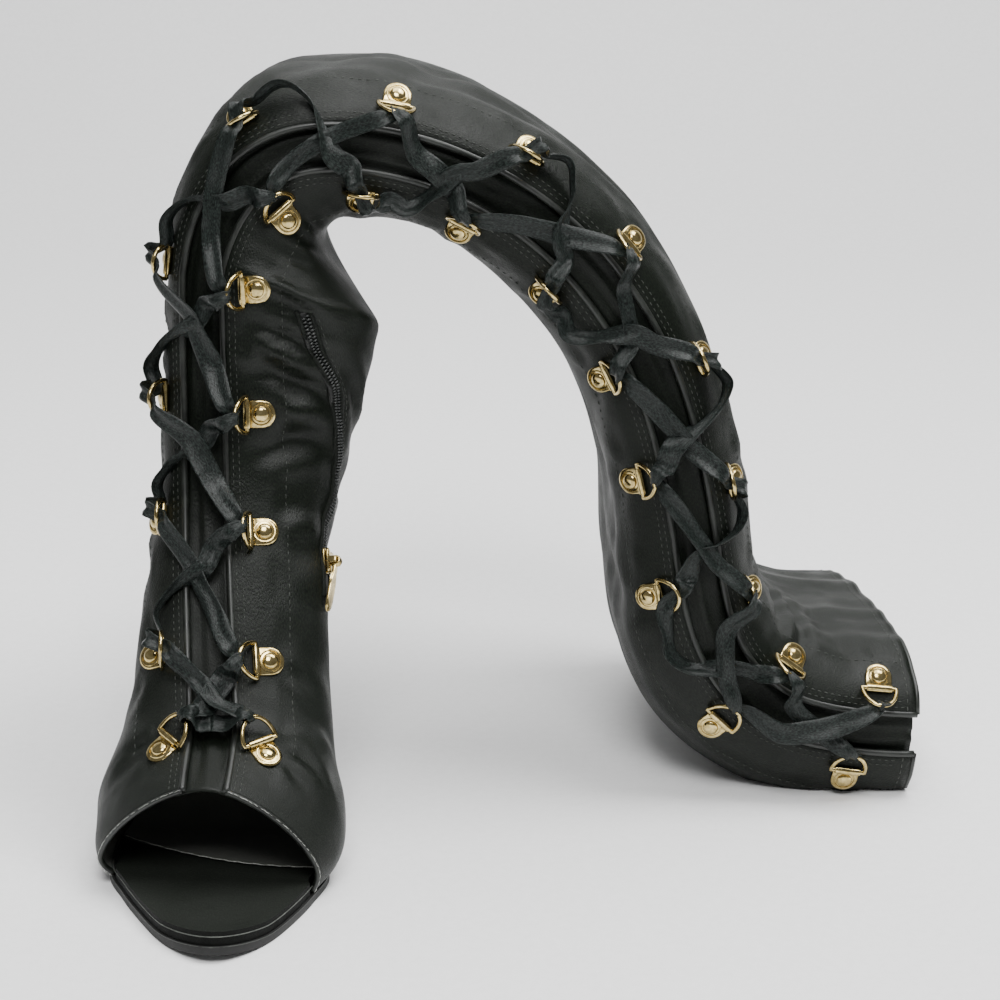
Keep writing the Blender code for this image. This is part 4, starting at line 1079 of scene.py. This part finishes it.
def loop_shape(pair, side):
    """One lace loop in its own axes: a plate folded round the D's bar, a rivet, and the D."""
    end = (PLATE_REACH - PLATE_HALF, 0.0)
    outline = arc(PLATE_HALF, np.linspace(-math.pi / 2, math.pi / 2, 17), 0.0, end)[:, :2]
    outline = np.vstack((outline, ((0.4, PLATE_HALF), (0.4, -PLATE_HALF))))
    heights = ((0.0, 0.0), (0.0, PLATE * 0.55), (0.05, PLATE * 0.85), (0.11, PLATE))
    plate = stacked(outline, heights, (end[0] * 0.6, 0.0))
    y = np.linspace(-PLATE_HALF + 0.3, PLATE_HALF - 0.3, 9)
    swell = FOLD * (1 - 0.12 * (np.abs(y) / PLATE_HALF) ** 6)
    fold = tube(np.column_stack((0 * y, y, 0 * y + FOLD)), swell, sides=16)
    dome = [arc(RIVET, around(24), PLATE * 0.5, end)]
    for turn in np.linspace(0, 1, 7) * math.pi / 2:
        z = PLATE + 0.25 + 1.35 * math.sin(turn)
        dome.append(arc(RIVET * math.cos(turn * 0.96), around(24), z, end))
    rim = tube(arc(RIVET_RIM, np.linspace(0, 2 * math.pi, 33), PLATE, end), 0.32, sides=6)
    tilt = loop_tilt(pair, side)
    bow = arc((D_DEPTH, D_HALF), np.linspace(math.pi / 2, 3 * math.pi / 2, 33))
    straight = np.linspace(-D_HALF, D_HALF, 13)[1:-1]
    bar = np.column_stack((0 * straight, straight, 0 * straight))
    x, y, _ = np.concatenate((bow, bar, bow[:1])).T
    line = np.column_stack((x * math.cos(tilt), y, FOLD - x * math.sin(tilt)))
    wire = tube(line, D_WIRE, (math.sin(tilt), 0.0, math.cos(tilt)), sides=12)
    return together((plate, fold, skin(dome, first=0), rim, wire))


PRESSED = 0.3  # a loop may sink this far into the satin


def build_loops(gold):
    """Every lace loop, each pressed a little into the satin. It returns their placings."""
    upper = bpy.data.objects["boot_upper"].evaluated_get(bpy.context.evaluated_depsgraph_get())
    mesh = upper.to_mesh()
    points, faces = [v.co / MM for v in mesh.vertices], [tuple(p.vertices) for p in mesh.polygons]
    upper.to_mesh_clear()
    tree = BVHTree.FromPolygons(points, faces)
    under = [(x, y) for x in (0.5, 4.0, 8.0) for y in (-5.0, 0.0, 5.0)] + [(11.0, 0.0)]
    placings = {}
    for pair in range(1, RING_PAIRS + 1):
        for side, word in SIDES:
            placing, lift = loop_placing(pair, side, word), 0.0
            for _ in range(40):
                spots = [placing @ Vector((x, y, lift)) for x, y in under]
                nearest = [tree.find_nearest(spot) for spot in spots]
                if min((spot - hit[0]).dot(hit[1]) for spot, hit in zip(spots, nearest)) >= -PRESSED:
                    break
                lift += 0.1
            turn = np.array(placing @ Matrix.Translation((0, 0, lift)))
            placings[word, pair] = turn
            points, faces = loop_shape(pair, side)
            shape = points @ turn[:3, :3].T + turn[:3, 3], faces
            node = f"lace_loop_{word}_{pair:02d}"
            add_piece(f"boot_{node}", shape, gold, (node,), sharp=50)
    return placings


# ---------------------------------------------------------------- the lace

RIBBON_WIDTH, RIBBON_THICK = 9.5, 0.32
# Where the lace hangs loose beside a loop: pair, side it leaves, how far out it bows, how high.
LOOSE = {
    (2, -1): (7, 4.5), (3, -1): (6, 5), (4, -1): (13, 6), (5, -1): (5, 5), (6, -1): (12, 7),
    (7, 1): (6, 6), (8, -1): (10, 8), (9, 1): (8, 7), (10, -1): (13, 7), (11, -1): (6, 6),
    (12, 1): (7, 6),
}


STEEPEST = 0.95  # the lace leaves a loop's tip at no more than this angle, in radians
ROUND_WIRE = D_WIRE + 0.75  # from the middle of a loop's wire to the middle of the ribbon
CROSSING_HIGH, STRAND_APART = 3.4, 1.9  # how high the lace crosses, and one end over the other
CROSSING_LEAN = 0.42


def heading(turn, tip, far, up):
    """The way from a loop's tip to a far point, laid in the loop's plane and kept off its ends."""
    away = (np.asarray(far) - turn[:3, 3]) @ turn[:3, :3] - tip
    angle = min(max(math.atan2(away[1] * up, -away[0]), -STEEPEST), STEEPEST)
    return np.array((-math.cos(angle), math.sin(angle)))


def through_loop(turn, pair, side, over_first, before, after):
    """The lace's way round a loop's wire: points, the way it lies flat, and its width."""
    tilt = loop_tilt(pair, side)
    tip = np.array((-math.cos(tilt) * D_DEPTH, 0.0, FOLD + math.sin(tilt) * D_DEPTH))
    clear = ROUND_WIRE
    up = 1.0 if (turn[:3, 1] @ frame_at(pair, 0.0)[2]) > 0 else -1.0
    over = 1 if over_first else -1
    near = 6.0 * (0.75 if pair == 1 else 1.0)
    coming = heading(turn, tip, before, up)
    going = heading(turn, tip, after, up) if after is not None else coming * (1.0, -1.0)
    inward = np.array((-1.0, 0.0))
    # off the wire: along a heading, how far, and off the satin; then the width
    if (pair, side) in LOOSE:
        spots = (
            (coming, near, -0.8, 7.2),
            (coming, 1.9, -clear - 0.2, 5.6),
            (inward, -2.4, -0.9, 5.4),
            (unit((-1.0, -0.5)), -6.6, 1.2, 6.8),
        )
    else:
        spots = (
            (coming, near, 1.2 * over, 7.2),
            (coming, 1.5, clear * over, 5.4),
            (inward, -clear, 0.0, 4.8),
            (going, 1.5, -clear * over, 5.4),
            (going, near, -1.2 * over, 7.2),
        )
    rows = []
    for way, far, z, width in spots:
        spot = tip + np.array((way[0] * far, way[1] * far * up, z))
        aside = turn[:3, 0] * way[1] - turn[:3, 1] * up * way[0]
        rows.append((turn[:3, :3] @ spot + turn[:3, 3], unit(aside), width))
    return rows


def between_loops(pair, side, strand):
    """The free span from one side of a pair up to the other side of the next pair."""
    rows = []
    start_round = loop_spot(pair, "outer" if side < 0 else "inner")[1]
    wander = math.sin(pair * 1.9 + strand * 2.2)
    # share of the way up to the next pair; how much of the bow, or how far over to one side
    if (pair, side) in LOOSE:
        bow, high = LOOSE[pair, side]
        for share, swell in ((0.2, 0.75), (0.36, 1.0), (0.5, 0.55)):
            distance = start_round * (1 - share * 0.5) * 0.75 + side * bow * swell
            point, _, along, outward = frame_at(pair + share, distance)
            aside = unit(np.cross(along, outward) * 0.35 + outward * 0.9)
            rows.append((point + outward * high * swell, aside, 7.4))
        shares = ((0.66, -0.1), (0.8, -0.5))
    else:
        shares = ((0.3, 0.42), (0.5, 0.0), (0.7, -0.42))
    for share, reach in shares:
        distance = side * reach * LACE_GAP * 1.1 + wander * 1.6
        point, round_leg, along, outward = frame_at(pair + share, distance)
        roll = 0.5 * math.sin(pair * 2.7 + share * 5.0 + strand)
        aside = round_leg * math.cos(roll) + outward * math.sin(roll) + along * side * CROSSING_LEAN * 0.9
        high = CROSSING_HIGH + STRAND_APART * strand + 0.5 * wander
        rows.append((point + outward * high, unit(aside), RIBBON_WIDTH * (0.86 + 0.12 * wander)))
    return rows


def curved(rows, step):
    """A smooth line through rows of (point, aside, width), a step apart, and its run."""
    table = np.array([(*point, *aside, width) for point, aside, width in rows])
    for i in range(1, len(table)):
        if table[i, 3:6] @ table[i - 1, 3:6] < 0:
            table[i, 3:6] *= -1
    spans = np.linalg.norm(np.diff(table[:, :3], axis=0), axis=1) ** 0.5
    knots = np.concatenate(([0.0], np.cumsum(spans)))
    tangent = np.gradient(table, knots, axis=0)
    values = cubic(knots, table, tangent, np.linspace(0, knots[-1], 40 * len(rows)))
    run = travelled(values[:, :3])
    spots = np.linspace(0, run[-1], max(8, round(run[-1] / step)))
    return between(spots, run, values), spots


def ribbon_shape(rows, seed, step=1.1, columns=11):
    """A satin ribbon through rows: where it is squeezed narrow it gathers into pleats."""
    line, run = curved(rows, step)
    middle, aside, width = line[:, :3], line[:, 3:6], line[:, 6]
    way = unit(np.gradient(middle, axis=0))
    for _ in range(12):
        aside[1:-1] = (aside[:-2] + 2 * aside[1:-1] + aside[2:]) / 4
    aside = unit(aside - np.sum(aside * way, axis=1, keepdims=True) * way)
    lift = np.cross(way, aside)[:, None]
    across = np.linspace(-1, 1, columns)
    squeeze = 1 - width / (RIBBON_WIDTH + 0.5)
    drift = np.array([noise.noise(Vector((r / 16.0, seed * 3.1, 0.0))) for r in run])
    cup = np.array([noise.noise(Vector((r / 9.0, seed * 7.7, 4.0))) for r in run])
    phase = across * math.pi * 1.35 + drift[:, None] * 3.2 + seed
    gathered = 0.25 + 2.6 * squeeze * np.maximum(0.56 - squeeze, 0.0)
    height = gathered[:, None] * np.sin(phase) + 0.8 * cup[:, None] * across**2
    spread = across[None, :, None] * width[:, None, None] / 2
    top = middle[:, None] + aside[:, None] * spread + lift * height[..., None]
    u = np.concatenate((across, across[::-1])) * RIBBON_WIDTH / 2
    uv = np.stack(np.broadcast_arrays(u[None], run[:, None]), axis=-1)
    return slab(top, lift * -RIBBON_THICK), uv.reshape(-1, 2)


def build_lace(placings, ribbon):
    """Two ends of one ribbon from the bar across the lowest pair, crossing up to the top pair."""
    crossings = [f"lace_cross_{pair:02d}" for pair in range(1, RING_PAIRS)]
    up_leg = frame_at(1.0, 0.0)[2]
    bar = []
    for share in (-0.55, 0.0, 0.6):
        point, _, _, outward = frame_at(1.0 + 2.4 / RING_STEP, share * LACE_GAP)
        bar.append((point + outward * (3.3 - 0.6 * (1 - share * share)), up_leg, 8.2))
    for strand, side, rows, end, nodes in (
        (0, -1, bar[1::-1], "right", ["lace_bar", *crossings[:6]]),
        (1, 1, bar[1:], "left", crossings[6:]),
    ):
        for pair in range(1, RING_PAIRS + 1):
            last = pair == RING_PAIRS
            onward = [] if last else between_loops(pair, side, strand)
            over_first = (pair + strand) % 2 == 0 or pair == 1
            turn = placings["outer" if side < 0 else "inner", pair]
            after = None if last else onward[0][0]
            looped = through_loop(turn, pair, side, over_first, rows[-1][0], after)
            rows = rows + (looped[:4] if last else looped) + onward
            side = -side
        shape, uv = ribbon_shape(rows, strand + 1)
        add_piece(f"boot_lace_{end}_end", shape, ribbon, nodes, uv, solid=True)


# ---------------------------------------------------------------- the zip

TAPE_HALF, TAPE_LIFT, TAPE_THICK = 2.9, 0.35, 0.6
WELT_AT, WELT, WELT_LIFT = 2.75, 0.95, 0.25  # where the turned edges beside the coil lie, their radius
COIL_PITCH = 1.45
TOOTH_AT, TOOTH_HALF, TOOTH_HIGH, TOOTH_BOW = 0.85, 0.95, 0.95, 0.34
TOOTH = (0.24, 0.42, 0.46, 0.42, 0.24)  # radii along a tooth


def zip_round(ring):
    """Millimetres round to the zip's line at a ring."""
    run = travelled(half_sections([ring], 1, SECTION_TURNS)[0])
    return np.interp(smooth(ZIP_LINE, [ring])[0, 0], SECTION_TURNS, run)


def zip_line(count, shift=0.0, low=TAPE_FROM):
    """A line beside the zip's middle: points, the ways outward and along it, and the way across."""
    rings = np.linspace(low, ZIP_TO, count)
    points, outward = on_cloth(rings, np.array([zip_round(ring) for ring in rings]) + shift)
    way = unit(np.gradient(points, axis=0))
    return points, outward, way, unit(np.cross(way, outward))


def build_zip(coil, tape, satin):
    points, outward, _, across = zip_line(120)
    share = np.linspace(-TAPE_HALF, TAPE_HALF, 7)[None, :, None]
    top = points[:, None] + across[:, None] * share + outward[:, None] * TAPE_LIFT
    shape = slab(top, outward[:, None] * -TAPE_THICK)
    add_piece("boot_zip_tape", shape, tape, ("zip_chain",), solid=True)

    line = zip_line(120, low=COIL_FROM)
    run = travelled(line[0])
    share = np.linspace(-1, 1, 5)[:, None]
    teeth = []
    for k in range(int(run[-1] / COIL_PITCH)):
        spot, out, up, aside = (between(k * COIL_PITCH + 0.6, run, values) for values in line)
        for hand in (-1, 1):
            centre = spot + aside * hand * TOOTH_AT + up * hand * COIL_PITCH / 4 + out * TOOTH_HIGH
            tooth = centre + share * TOOTH_HALF * aside + out * (TOOTH_BOW * (1 - share**2))
            teeth.append(tube(tooth, TOOTH, out, 7))
    add_piece("boot_zip_coil", together(teeth), coil)

    welts = []
    for shift in (-WELT_AT, WELT_AT):
        edge, out, _, _ = zip_line(160, shift)
        welts.append(tube(edge + out * WELT_LIFT, WELT, out, 10, flat=0.95))
    add_piece("boot_zip_welts", together(welts), satin)


# Half outlines of the slider's shield and of its pull, from the lower end and the bar: x, y.
SHIELD = ((2.1, -5.0), (2.9, -3.6), (3.4, -1.0), (4.1, 2.2), (4.2, 4.0), (3.5, 4.9), (1.6, 4.6))
TAB = (
    ((1.5, 1.4), (1.75, 3.4), (1.6, 5.0), (2.1, 6.4), (2.9, 8.4), (3.1, 12.0), (3.1, 16.4))
    + ((2.8, 18.6), (1.9, 20.1), (0.7, 20.7))
)


def plate_shape(outline, low, high):
    """A flat shape between two heights, its rim drawn in a little at both."""
    tall = high - low
    return stacked(outline, ((0.04, low), (0.0, low + tall * 0.2), (0.0, high - tall * 0.3), (0.07, high)))


def placed_in(parts, at, *axes):
    points, faces = together(parts)
    return at + points @ np.array(axes), faces


def build_slider(gold):
    """The slider with its bridge, and the pull that hangs from the bridge's bar."""
    joint = frame["joints"][0]
    bar, across = np.array(joint["pos_m"]) / MM, unit(joint["axis"])
    outward = on_cloth([SLIDER_RING], [zip_round(SLIDER_RING)])[1][0]
    up = unit(np.cross(outward, across))
    sole = -BAR_HIGH
    # the lower and the upper shield, the wedge between them, the two posts and the bar
    other = [(-x, y) for x, y in SHIELD]
    shield = np.array((other[0], *SHIELD, (0.0, 3.2), *other[:0:-1]))
    wedge = ((-0.6, 1.0), (0.6, 1.0), (1.0, 3.4), (-1.0, 3.4))
    parts = [
        plate_shape(shield, sole + 0.1, sole + 1.15),
        plate_shape(shield * 0.97, sole + 1.5, sole + 2.7),
        plate_shape(wedge, sole + 0.8, sole + 2.0),
    ]
    for side in (-1, 1):
        post = [(side * 2.9 + x, y) for x, y in ((-0.6, -1.3), (0.6, -1.3), (0.6, 1.3), (-0.6, 1.3))]
        parts.append(plate_shape(post, sole + 2.4, 0.75))
    along = np.linspace(-2.9, 2.9, 7)
    parts.append(tube(np.column_stack((along, 0 * along, 0 * along)), 0.78, sides=14))
    shape = placed_in(parts, bar, across, up, np.cross(across, up))
    add_piece("boot_zip_slider", shape, gold, ("zip_slider",), solid=True, bevel=(0.16, 2, 45))

    solid = np.array([v.co for v in frame["nodes"]["zip_pull"].data.vertices]) / MM
    hang = solid.mean(axis=0) - bar
    hang = unit(hang - (hang @ across) * across)
    tab = np.array((*TAB, *((-x, y) for x, y in TAB[::-1])))
    rim = np.vstack((tab, tab[:1])) * (0.98, 1.0)
    boss = arc(1.5, np.linspace(0, 2 * math.pi, 25), 0.5, (0.0, 15.6))
    parts = [plate_shape(tab, -0.5, 0.5), tube(level(rim, 0.35), 0.3, sides=6), tube(boss, 0.35, sides=6)]
    turn = np.linspace(0, 2 * math.pi, 29)
    for x in (-1.1, 0.0, 1.1):
        eye = np.column_stack((0 * turn + x, 1.5 * np.sin(turn), 1.5 * np.cos(turn)))
        parts.append(tube(eye, 0.62, (1.0, 0.0, 0.0), 10))
    shape = placed_in(parts, bar, across, hang, np.cross(across, hang))
    add_piece("boot_zip_pull", shape, gold, ("zip_pull",), solid=True, sharp=50, body=PULL_BODY)


# ---------------------------------------------------------------- stitches


def stitch_row(line, length, gap, radius):
    """Stitches laid end to end along a line on the satin, each with its ends sunk in."""
    points, outward = line[:2]
    run = travelled(points)
    parts = []
    for k in range(int(run[-1] / (length + gap))):
        at = k * (length + gap) + np.linspace(0, length, 4)
        out = between(at, run, outward)
        spots = between(at, run, points) + out * (radius * np.array((-0.9, 0.5, 0.5, -0.9)))[:, None]
        parts.append(tube(spots, radius * np.array((0.6, 1.0, 1.0, 0.6)), out, 5))
    return parts


def frayed_row(points, outward):
    """The pale raw thread that shows here and there along a turned edge, in uneven lengths."""
    run = travelled(points)
    parts, at = [], 0.4
    while at < run[-1] - 1.0:
        wander = noise.noise(Vector((at * 0.31, 2.0, 0.0)))
        length = min(2.2 + 4.2 * max(wander, -0.4), run[-1] - at)
        spots = at + np.linspace(0, length, 8)
        out = between(spots, run, outward)
        lift = 0.16 * np.sin(spots * 2.3) * np.sin(spots * 0.7)
        thick = (0.1 + 0.09 * max(wander, 0.0)) * np.array((0.3, 0.9, 0.7, 1.2, 0.8, 1.1, 0.8, 0.3))
        parts.append(tube(between(spots, run, points) + out * lift[:, None], thick, out, 5))
        at += length + 0.3 + 4.0 * max(0.0, noise.noise(Vector((at * 0.23, 8.0, 0.0))))
    return parts


# Rows of stitches up the leg: first ring, millimetres round, a stitch's length, the gap after it.
SIDE_ROWS = (
    (0.06, LACE_GAP + 2.7, 1.7, 1.1),
    (0.06, LACE_GAP + 5.0, 1.7, 1.1),
    (0.95, 32.5, 2.0, 1.3),
)
LAST_STITCH, BELOW_COLLAR = COLLAR - 0.04, 0.09  # rings
BESIDE_ZIP, BESIDE_BACK = 5.4, 2.4


def build_stitches(thread, raw):
    """Two rows beside the laced gap, one down each side, beside the zip, the back and the collar."""
    parts = []
    for side, _ in SIDES:
        for first, distance, length, gap in SIDE_ROWS:
            line = on_cloth(np.arange(first, LAST_STITCH, 0.05), side * distance)
            parts += stitch_row(line, length, gap, 0.18)
    parts += stitch_row(zip_line(200, BESIDE_ZIP), 2.0, 1.0, 0.17)
    rings = np.arange(CLOSED + 0.15, LAST_STITCH, 0.06)
    ends = np.interp(rings, CLOTH_RINGS, np.abs(CLOTH[1][1][:, -1]))
    lines = [on_cloth(rings, ends - BESIDE_BACK)]
    for side, _ in SIDES:
        rounds = side * np.linspace(LACE_GAP + 1.0, abs(CLOTH[side][1][-1, -1]), 90)
        lines.append(on_cloth(COLLAR - BELOW_COLLAR, rounds))
    for line in lines:
        parts += stitch_row(line, 2.2, 1.1, 0.22)
    add_piece("boot_stitches", together(parts), thread)
    parts = []
    for side, _ in SIDES:
        grid, _, outward = CLOTH[side]
        parts += frayed_row(grid[0] + outward[0] * 0.1 - np.array((0.0, 0.85, 0.0)), outward[0])
    add_piece("boot_toe_thread", together(parts), raw)


# ---------------------------------------------------------------- the scene


def add_backdrop():
    """A pale paper sweep: flat under the boot, then curved up well behind it."""
    paper = grained("studio_paper", "even", "#f6f6f6", "#fbfbfb", 0.85, 4.0, 0.05)
    bend = np.linspace(-math.pi / 2, 0, 17)
    profile = [(-2500.0, 0.0), (-900.0, 0.0)]
    profile += [(1100.0 + 500.0 * math.cos(a), 500.0 + 500.0 * math.sin(a)) for a in bend]
    profile += [(1600.0, 2600.0)]
    points = [(x, y, z) for y, z in profile for x in (-3500.0, 0.0, 3500.0)]
    mesh_object("studio_sweep", (points, grid_faces(len(profile), 3)), (paper,))


def main():
    add_camera_and_light()
    add_backdrop()

    # woven of long floats: near black, with a soft streaked shine
    satin = satin_weave("black_polyester_satin", "#040604", "#171d15", 0.43, 0.45, 14.0, 0.3)
    # woven narrow with both faces satin: glossier and a little greyer than the upper
    ribbon = satin_weave("double_faced_satin_ribbon", "#070908", "#2b322f", 0.36, 0.5, 6.0, 0.2)
    # satin glued flat over board: rubbed dull, and smooth where no folds are left; drawn lighter than the
    # upper's satin as painted light on the top that faces the lamps
    board = satin_weave("satin_board_top_painted_light", "#161815", "#212520", 0.62, 0.42, 20.0, 0.06, 0.3)
    # the same drawn tight round the board's edge: almost matt, and darker as painted shade on the footbed's
    # upright sides
    wall = satin_weave("satin_board_sides_painted_shade", "#060706", "#0c0e0b", 0.78, 0.42, 20.0, 0.06, 0.3)
    # cotton brushed after weaving: grey, soft and dull inside the shaft
    lining = grained("brushed_cotton_lining", "brushed", "#4d4f49", "#676963", 0.85, 0.5, 0.3)
    # a flat weave glued down: darker and flatter, so that it recedes in the open toe
    sock = grained("flat_woven_sock_lining", "brushed", "#33352f", "#42443f", 0.88, 0.5, 0.3)
    # narrow woven tape: dull black beside the shinier coil
    tape = grained("woven_zip_tape", "brushed", "#0d0e0d", "#161716", 0.72, 0.5, 0.3)
    # spun thread: round stitches that catch a little more light than the cloth
    thread = grained("spun_polyester_thread", "even", "#252824", "#3f433d", 0.5, 0.6, 0.15)
    # cut floats that came loose: pale and fuzzy along the raw edges
    raw = grained("raw_thread_ends", "even", "#70736d", "#c4c6c0", 0.8, 1.6, 0.15)
    # satin rolled over a cord and stitched: tight, so its highlight is narrow
    rolled = grained("satin_rolled_over_its_edge", "even", "#0b0d0b", "#232722", 0.42, 7.0, 0.15)
    # the folded rim of a satin cover, drawn pale grey: a painted highlight, a fine light line along the edge
    seam = grained("satin_edge_painted_highlight", "even", "#3a3d39", "#5e625c", 0.5, 3.0, 0.15)
    # leather board pressed and inked: matt black
    sole = grained("pressed_sole_sheet", "even", "#0c0c0c", "#161715", 0.62, 0.7, 0.15)
    # moulded rubber: the dullest black, with a fine even grain
    rubber = grained("moulded_rubber", "even", "#0b0b0b", "#141414", 0.7, 0.5, 0.15)
    # nylon moulded to shape: smooth teeth with small sharp highlights
    coil = grained("moulded_nylon_coil", "even", "#171918", "#2c2f2d", 0.3, 0.8, 0.05)
    # zinc die cast, polished and plated: pale gold, with darker handling marks
    gold = grained("pale_gold_plate", "plated", "#d8c48c", "#94804c", 0.12, 2.2, 0.1)

    build_upper(satin, lining)
    build_edges(rolled)
    build_tongue(satin)
    build_outsole(sole)
    build_footbed(board, wall)
    build_sole_seams(seam)
    build_insole(sock, raw)
    build_heel(satin)
    build_heel_tip(rubber)
    build_lace(build_loops(gold), ribbon)
    build_zip(coil, tape, satin)
    build_slider(gold)
    build_stitches(thread, raw)


main()
